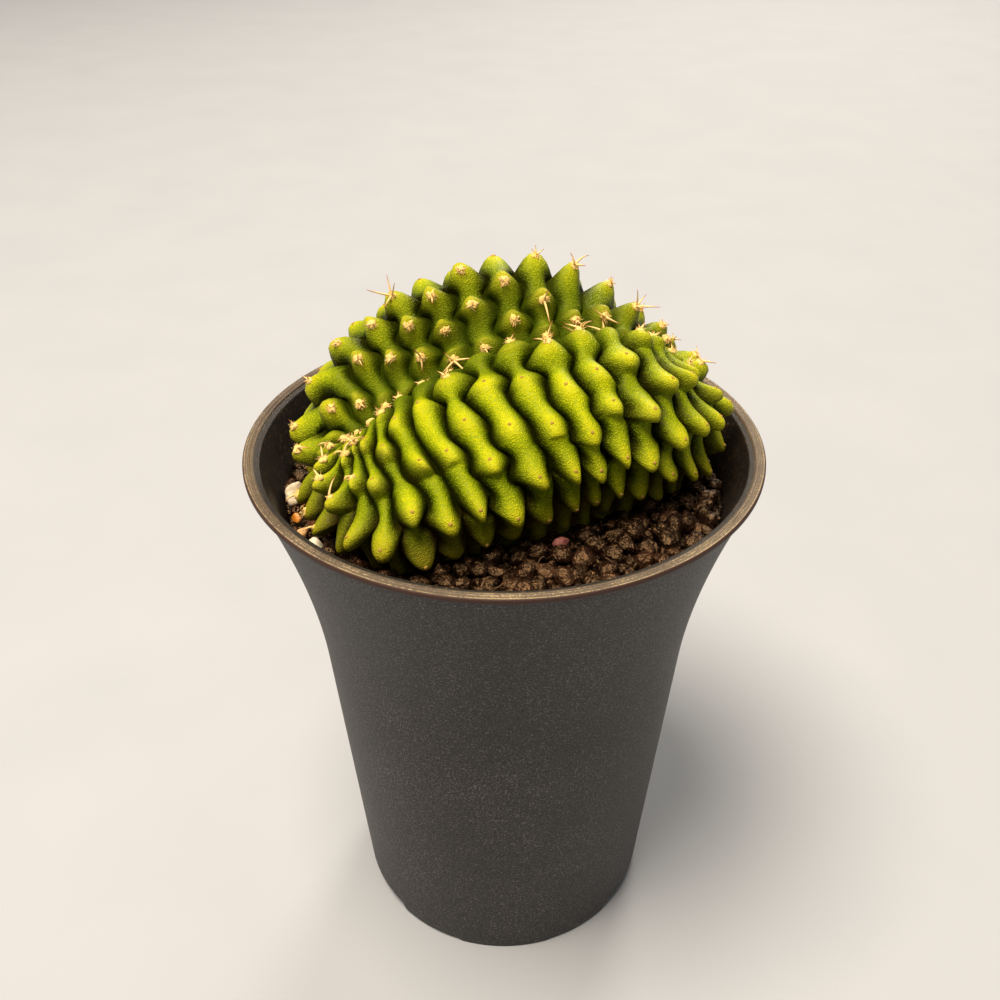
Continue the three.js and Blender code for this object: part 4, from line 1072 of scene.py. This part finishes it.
def soil_material(settings):
    """Damp lava grit and peat: near black, brown in places, with pale speckles that are partly dust and
    partly painted highlights, and glossy on the walls of its pores.
    """
    m = new_material("soil_lava_grit_damp")
    place = add_node(m, "TexCoord", {}, {}, "Object")
    tone = add_node(m, "Attribute", {"attribute_name": "tone"}, {}, "Fac")
    pores = add_node(m, "TexVoronoi", {"Scale": MM / 0.9}, {"Vector": place}, "Distance")
    fine = add_node(m, "TexNoise", {"Scale": MM / 0.4, "Detail": 3, "Roughness": 0.6}, {"Vector": place})
    shade = add_node(m, "Math", {"operation": "MULTIPLY_ADD", 1: 0.45}, {0: tone, 2: fine})
    colour = add_node(m, "ValToRGB", {"stops": (
        (0.5, linear(0x060302)), (0.8, settings.soil_colour), (1.0, settings.soil_light),
    )}, {"Fac": shade})
    # Pale speckles in patches of about 3 mm: partly dust and broken edges, partly painted highlights on the
    # grains.
    dust_and_highlights = add_node(m, "MapRange", {"From Min": 0.56, "From Max": 0.72}, {"Value": fine})
    coarse = add_node(m, "TexNoise", {"Scale": MM / 3}, {"Vector": place})
    dust_and_highlight_patches = add_node(m, "MapRange", {"From Min": 0.5, "From Max": 0.7}, {"Value": coarse})
    dust_and_highlights = add_node(m, "Math", {"operation": "MULTIPLY"}, {0: dust_and_highlights, 1: dust_and_highlight_patches})
    colour = add_node(m, "Mix", {"data_type": "RGBA", 7: linear(0x8E6A44)}, {0: dust_and_highlights, 6: colour}, 2)
    rough = add_node(m, "Math", {"operation": "MULTIPLY_ADD", 1: 0.25, 2: 0.1}, {0: fine})
    relief = add_node(m, "Math", {"operation": "MULTIPLY_ADD", 1: 0.9}, {0: pores, 2: fine})
    normal = add_node(m, "Bump", {"Strength": 1.0, "Distance": 0.3 / MM}, {"Height": relief})
    shader = add_node(m, "BsdfPrincipled", {
        "IOR": 1.5, "Specular IOR Level": 0.85, "Specular Tint": linear(0xFFD09C),
    }, {"Base Color": colour, "Roughness": rough, "Normal": normal}, "BSDF")
    add_node(m, "OutputMaterial", {}, {"Surface": shader})
    return m


def fibre_material(settings):
    """Dry roots and straw: matt, from brown to straw yellow in patches of about 6 mm."""
    m = new_material("fibre_root_dry")
    place = add_node(m, "TexCoord", {}, {}, "Object")
    patches = add_node(m, "TexNoise", {"Scale": MM / 6}, {"Vector": place})
    colour = add_node(m, "ValToRGB", {"stops": (
        (0.35, linear(0x3E2A1A)), (0.65, settings.fibre_colour),
    )}, {"Fac": patches})
    shader = add_node(m, "BsdfPrincipled", {"Roughness": 0.75}, {"Base Color": colour}, "BSDF")
    add_node(m, "OutputMaterial", {}, {"Surface": shader})
    return m


def bit_material(name):
    """A small stone or chip: three tones in patches of about a millimetre, with a gritty face."""
    title, tones, roughness = BITS[name][3:]
    m = new_material(title)
    place = add_node(m, "TexCoord", {}, {}, "Object")
    patches = add_node(m, "TexNoise", {"Scale": MM / 1.2, "Detail": 5, "Roughness": 0.6}, {"Vector": place})
    grit = add_node(m, "TexNoise", {"Scale": MM / 0.35, "Detail": 4, "Roughness": 0.6}, {"Vector": place})
    stops = tuple(zip((0.36, 0.5, 0.66), map(linear, tones)))
    colour = add_node(m, "ValToRGB", {"stops": stops}, {"Fac": patches})
    normal = add_node(m, "Bump", {"Strength": 0.6, "Distance": 0.15 / MM}, {"Height": grit})
    shader = add_node(m, "BsdfPrincipled", {"Roughness": roughness},
                      {"Base Color": colour, "Normal": normal}, "BSDF")
    add_node(m, "OutputMaterial", {}, {"Surface": shader})
    return m


def paper_material(settings):
    """The sweep of matt paper the pot stands on, with faint clouds about 4 cm across."""
    m = new_material("floor_paper_matt")
    place = add_node(m, "TexCoord", {}, {}, "Object")
    clouds = add_node(m, "TexNoise", {"Scale": MM / 40}, {"Vector": place})
    clouds = add_node(m, "Math", {"operation": "MULTIPLY", 1: 0.06}, {0: clouds})
    colour = add_node(m, "Mix", {"data_type": "RGBA", 6: settings.floor_colour, 7: linear(0xFFFFFF)},
                      {0: clouds}, 2)
    shader = add_node(m, "BsdfPrincipled", {"Roughness": 0.85}, {"Base Color": colour}, "BSDF")
    add_node(m, "OutputMaterial", {}, {"Surface": shader})
    return m


# Stage


def add_light(name, power):
    """A soft round lamp that points at the plant."""
    place, size, share, colour = LIGHTS[name]
    light = bpy.data.lights.new(name, "AREA")
    light.shape = "DISK"
    light.size = size
    light.energy = power * share
    light.color = linear(colour)[:3]
    lamp = bpy.data.objects.new(name, light)
    x, y, z = (there - here for there, here in zip(LIGHT_TARGET, place))
    lamp.location = place
    lamp.rotation_euler = (math.atan2(math.hypot(x, y), -z), 0, math.atan2(y, x) - math.pi / 2)
    bpy.context.scene.collection.objects.link(lamp)


def make_stage(settings):
    """A pale floor, a pale sky, soft lights from above, and the camera."""
    scene = bpy.context.scene
    floor = bpy.data.meshes.new("floor")
    corners = [(x * FLOOR_HALF, y * FLOOR_HALF, 0) for x, y in ((-1, -1), (1, -1), (1, 1), (-1, 1))]
    floor.from_pydata(corners, [], [(0, 1, 2, 3)])
    floor.materials.append(paper_material(settings))
    ground = bpy.data.objects.new("floor", floor)
    scene.collection.objects.link(ground)
    world = bpy.data.worlds.new("sky")
    world.use_nodes = True
    sky = world.node_tree.nodes["Background"].inputs
    sky["Color"].default_value = linear(0xF0EBE2)
    sky["Strength"].default_value = settings.sky_strength
    scene.world = world
    for name in LIGHTS:
        add_light(name, settings.key_power)
    camera = bpy.data.cameras.new("camera")
    camera.sensor_width = CAMERA_SENSOR
    camera.lens = CAMERA_LENS
    camera.clip_start = 0.01
    eye = bpy.data.objects.new("camera", camera)
    eye.location = CAMERA_PLACE
    eye.rotation_euler = CAMERA_TURN
    scene.collection.objects.link(eye)
    scene.camera = eye
    scene.view_settings.view_transform = "Standard"


# Add-on


def a_length(name, default_mm, description):
    """A length in the panel, given in mm."""
    return bpy.props.FloatProperty(
        name=name, description=description, default=default_mm / MM, min=0, unit="LENGTH", precision=5,
    )


def a_colour(name, hex_colour, description):
    """A colour in the panel, given as sRGB hex."""
    return bpy.props.FloatVectorProperty(
        name=name, description=description, default=linear(hex_colour), size=4, min=0, max=1,
        subtype="COLOR",
    )


class CactusSettings(bpy.types.PropertyGroup):
    """Sizes, colours and lights that a user would change."""

    rib_height: a_length("Rib height", 3.4, "How far a rib stands out of its furrows")
    chin_height: a_length("Chin height", 1.4, "How far a chin stands out of its rib")
    wool_size: a_length("Wool radius", 0.8, "Radius of a young areole's cushion")
    spine_length: a_length("Spine length", 4.2, "Length of the longer spines")
    spine_thickness: a_length("Spine thickness", 0.36, "Thickness of a spine at its root")
    grain_size: a_length("Grain size", 3.5, "Width of the coarse grains of the soil")
    # Skin, light is a painted highlight; Skin, shade and Skin, furrow are painted shade.
    skin_painted_highlight: a_colour("Skin, light", 0xBEC006, "Skin where a tubercle swells most")
    skin_green: a_colour("Skin, green", 0x86960A, "Skin over most of a rib")
    skin_shade: a_colour("Skin, shade", 0x3C4A02, "Skin low on the side of a rib")
    skin_furrow_painted_shade: a_colour("Skin, furrow", 0x1A1E02, "Skin in the furrows")
    wool_young: a_colour("Wool, young", 0xFBDD8C, "Wool of young areoles")
    wool_worn: a_colour("Wool, worn", 0x98803A, "Wool of worn areoles")
    spine_colour: a_colour("Spine", 0xF0CC8A, "Spines up to their points")
    spine_tip: a_colour("Spine point", 0x9A3E1C, "Points of the spines")
    pot_colour: a_colour("Pot", 0x2A2828, "The pot's wall")
    # Lip is the tan of a painted reflection of the light on the lip's top.
    lip_painted_sheen: a_colour("Lip", 0x564A3A, "Worn top of the pot's lip")
    lip_edge: a_colour("Lip edge", 0x3A241C, "Edge of the pot's lip and the lines along it")
    soil_colour: a_colour("Soil", 0x1A0E0A, "Most of the grit")
    soil_light: a_colour("Soil, light", 0x3A2418, "The palest grit")
    fibre_colour: a_colour("Fibre", 0x6E5232, "Dry roots and straw")
    floor_colour: a_colour("Floor", 0xA2A7B0, "The paper under the pot")
    key_power: bpy.props.FloatProperty(
        name="Key light", description="Power of the light from above", default=38.0, min=0, unit="POWER",
    )
    sky_strength: bpy.props.FloatProperty(
        name="Sky", description="Strength of the light from all round", default=0.3, min=0,
    )


class CACTUS_OT_skin(bpy.types.Operator):
    """Builds the crest's ribbed skin"""

    bl_idname = "cactus.skin"
    bl_label = "Crest skin"

    def execute(self, context):
        settings = context.scene.cactus
        make_skin(settings).data.materials.append(skin_material(settings))
        return {"FINISHED"}


class CACTUS_OT_areoles(bpy.types.Operator):
    """Builds the woolly areoles and the spines"""

    bl_idname = "cactus.areoles"
    bl_label = "Areoles and spines"

    def execute(self, context):
        settings = context.scene.cactus
        make_wool(settings).data.materials.append(wool_material(settings))
        make_spines(settings).data.materials.append(spine_material(settings))
        return {"FINISHED"}


class CACTUS_OT_pot(bpy.types.Operator):
    """Builds the moulded pot"""

    bl_idname = "cactus.pot"
    bl_label = "Pot"

    def execute(self, context):
        make_pot().data.materials.append(plastic_material(context.scene.cactus))
        return {"FINISHED"}


class CACTUS_OT_soil(bpy.types.Operator):
    """Builds the grit with its crumbs and fibres"""

    bl_idname = "cactus.soil"
    bl_label = "Soil"

    def execute(self, context):
        settings = context.scene.cactus
        material = soil_material(settings)
        make_bed().data.materials.append(material)
        make_grains(settings).data.materials.append(material)
        make_fibres(settings).data.materials.append(fibre_material(settings))
        return {"FINISHED"}


class CACTUS_OT_bits(bpy.types.Operator):
    """Builds the pebbles and chips that lie on the soil"""

    bl_idname = "cactus.bits"
    bl_label = "Pebbles and chips"

    def execute(self, context):
        for name in BITS:
            make_bit(name).data.materials.append(bit_material(name))
        return {"FINISHED"}


class CACTUS_OT_stage(bpy.types.Operator):
    """Builds the floor, the lights and the camera"""

    bl_idname = "cactus.stage"
    bl_label = "Stage"

    def execute(self, context):
        make_stage(context.scene.cactus)
        return {"FINISHED"}


OPERATORS = (
    CACTUS_OT_skin, CACTUS_OT_areoles, CACTUS_OT_pot, CACTUS_OT_soil, CACTUS_OT_bits, CACTUS_OT_stage,
)


class CACTUS_PT_panel(bpy.types.Panel):
    """Lists the pieces and their settings"""

    bl_label = "Cactus"
    bl_idname = "CACTUS_PT_panel"
    bl_space_type = "VIEW_3D"
    bl_region_type = "UI"
    bl_category = "Cactus"

    def draw(self, context):
        for name in CactusSettings.__annotations__:
            self.layout.prop(context.scene.cactus, name)
        for operator in OPERATORS:
            self.layout.operator(operator.bl_idname)


CLASSES = (CactusSettings, *OPERATORS, CACTUS_PT_panel)


def register():
    for cls in CLASSES:
        bpy.utils.register_class(cls)
    bpy.types.Scene.cactus = bpy.props.PointerProperty(type=CactusSettings)


def unregister():
    del bpy.types.Scene.cactus
    for cls in reversed(CLASSES):
        bpy.utils.unregister_class(cls)


def main():
    """Builds every piece in order."""
    register()
    bpy.ops.cactus.skin()
    bpy.ops.cactus.areoles()
    bpy.ops.cactus.pot()
    bpy.ops.cactus.soil()
    bpy.ops.cactus.bits()
    bpy.ops.cactus.stage()


if __name__ == "__main__":
    main()
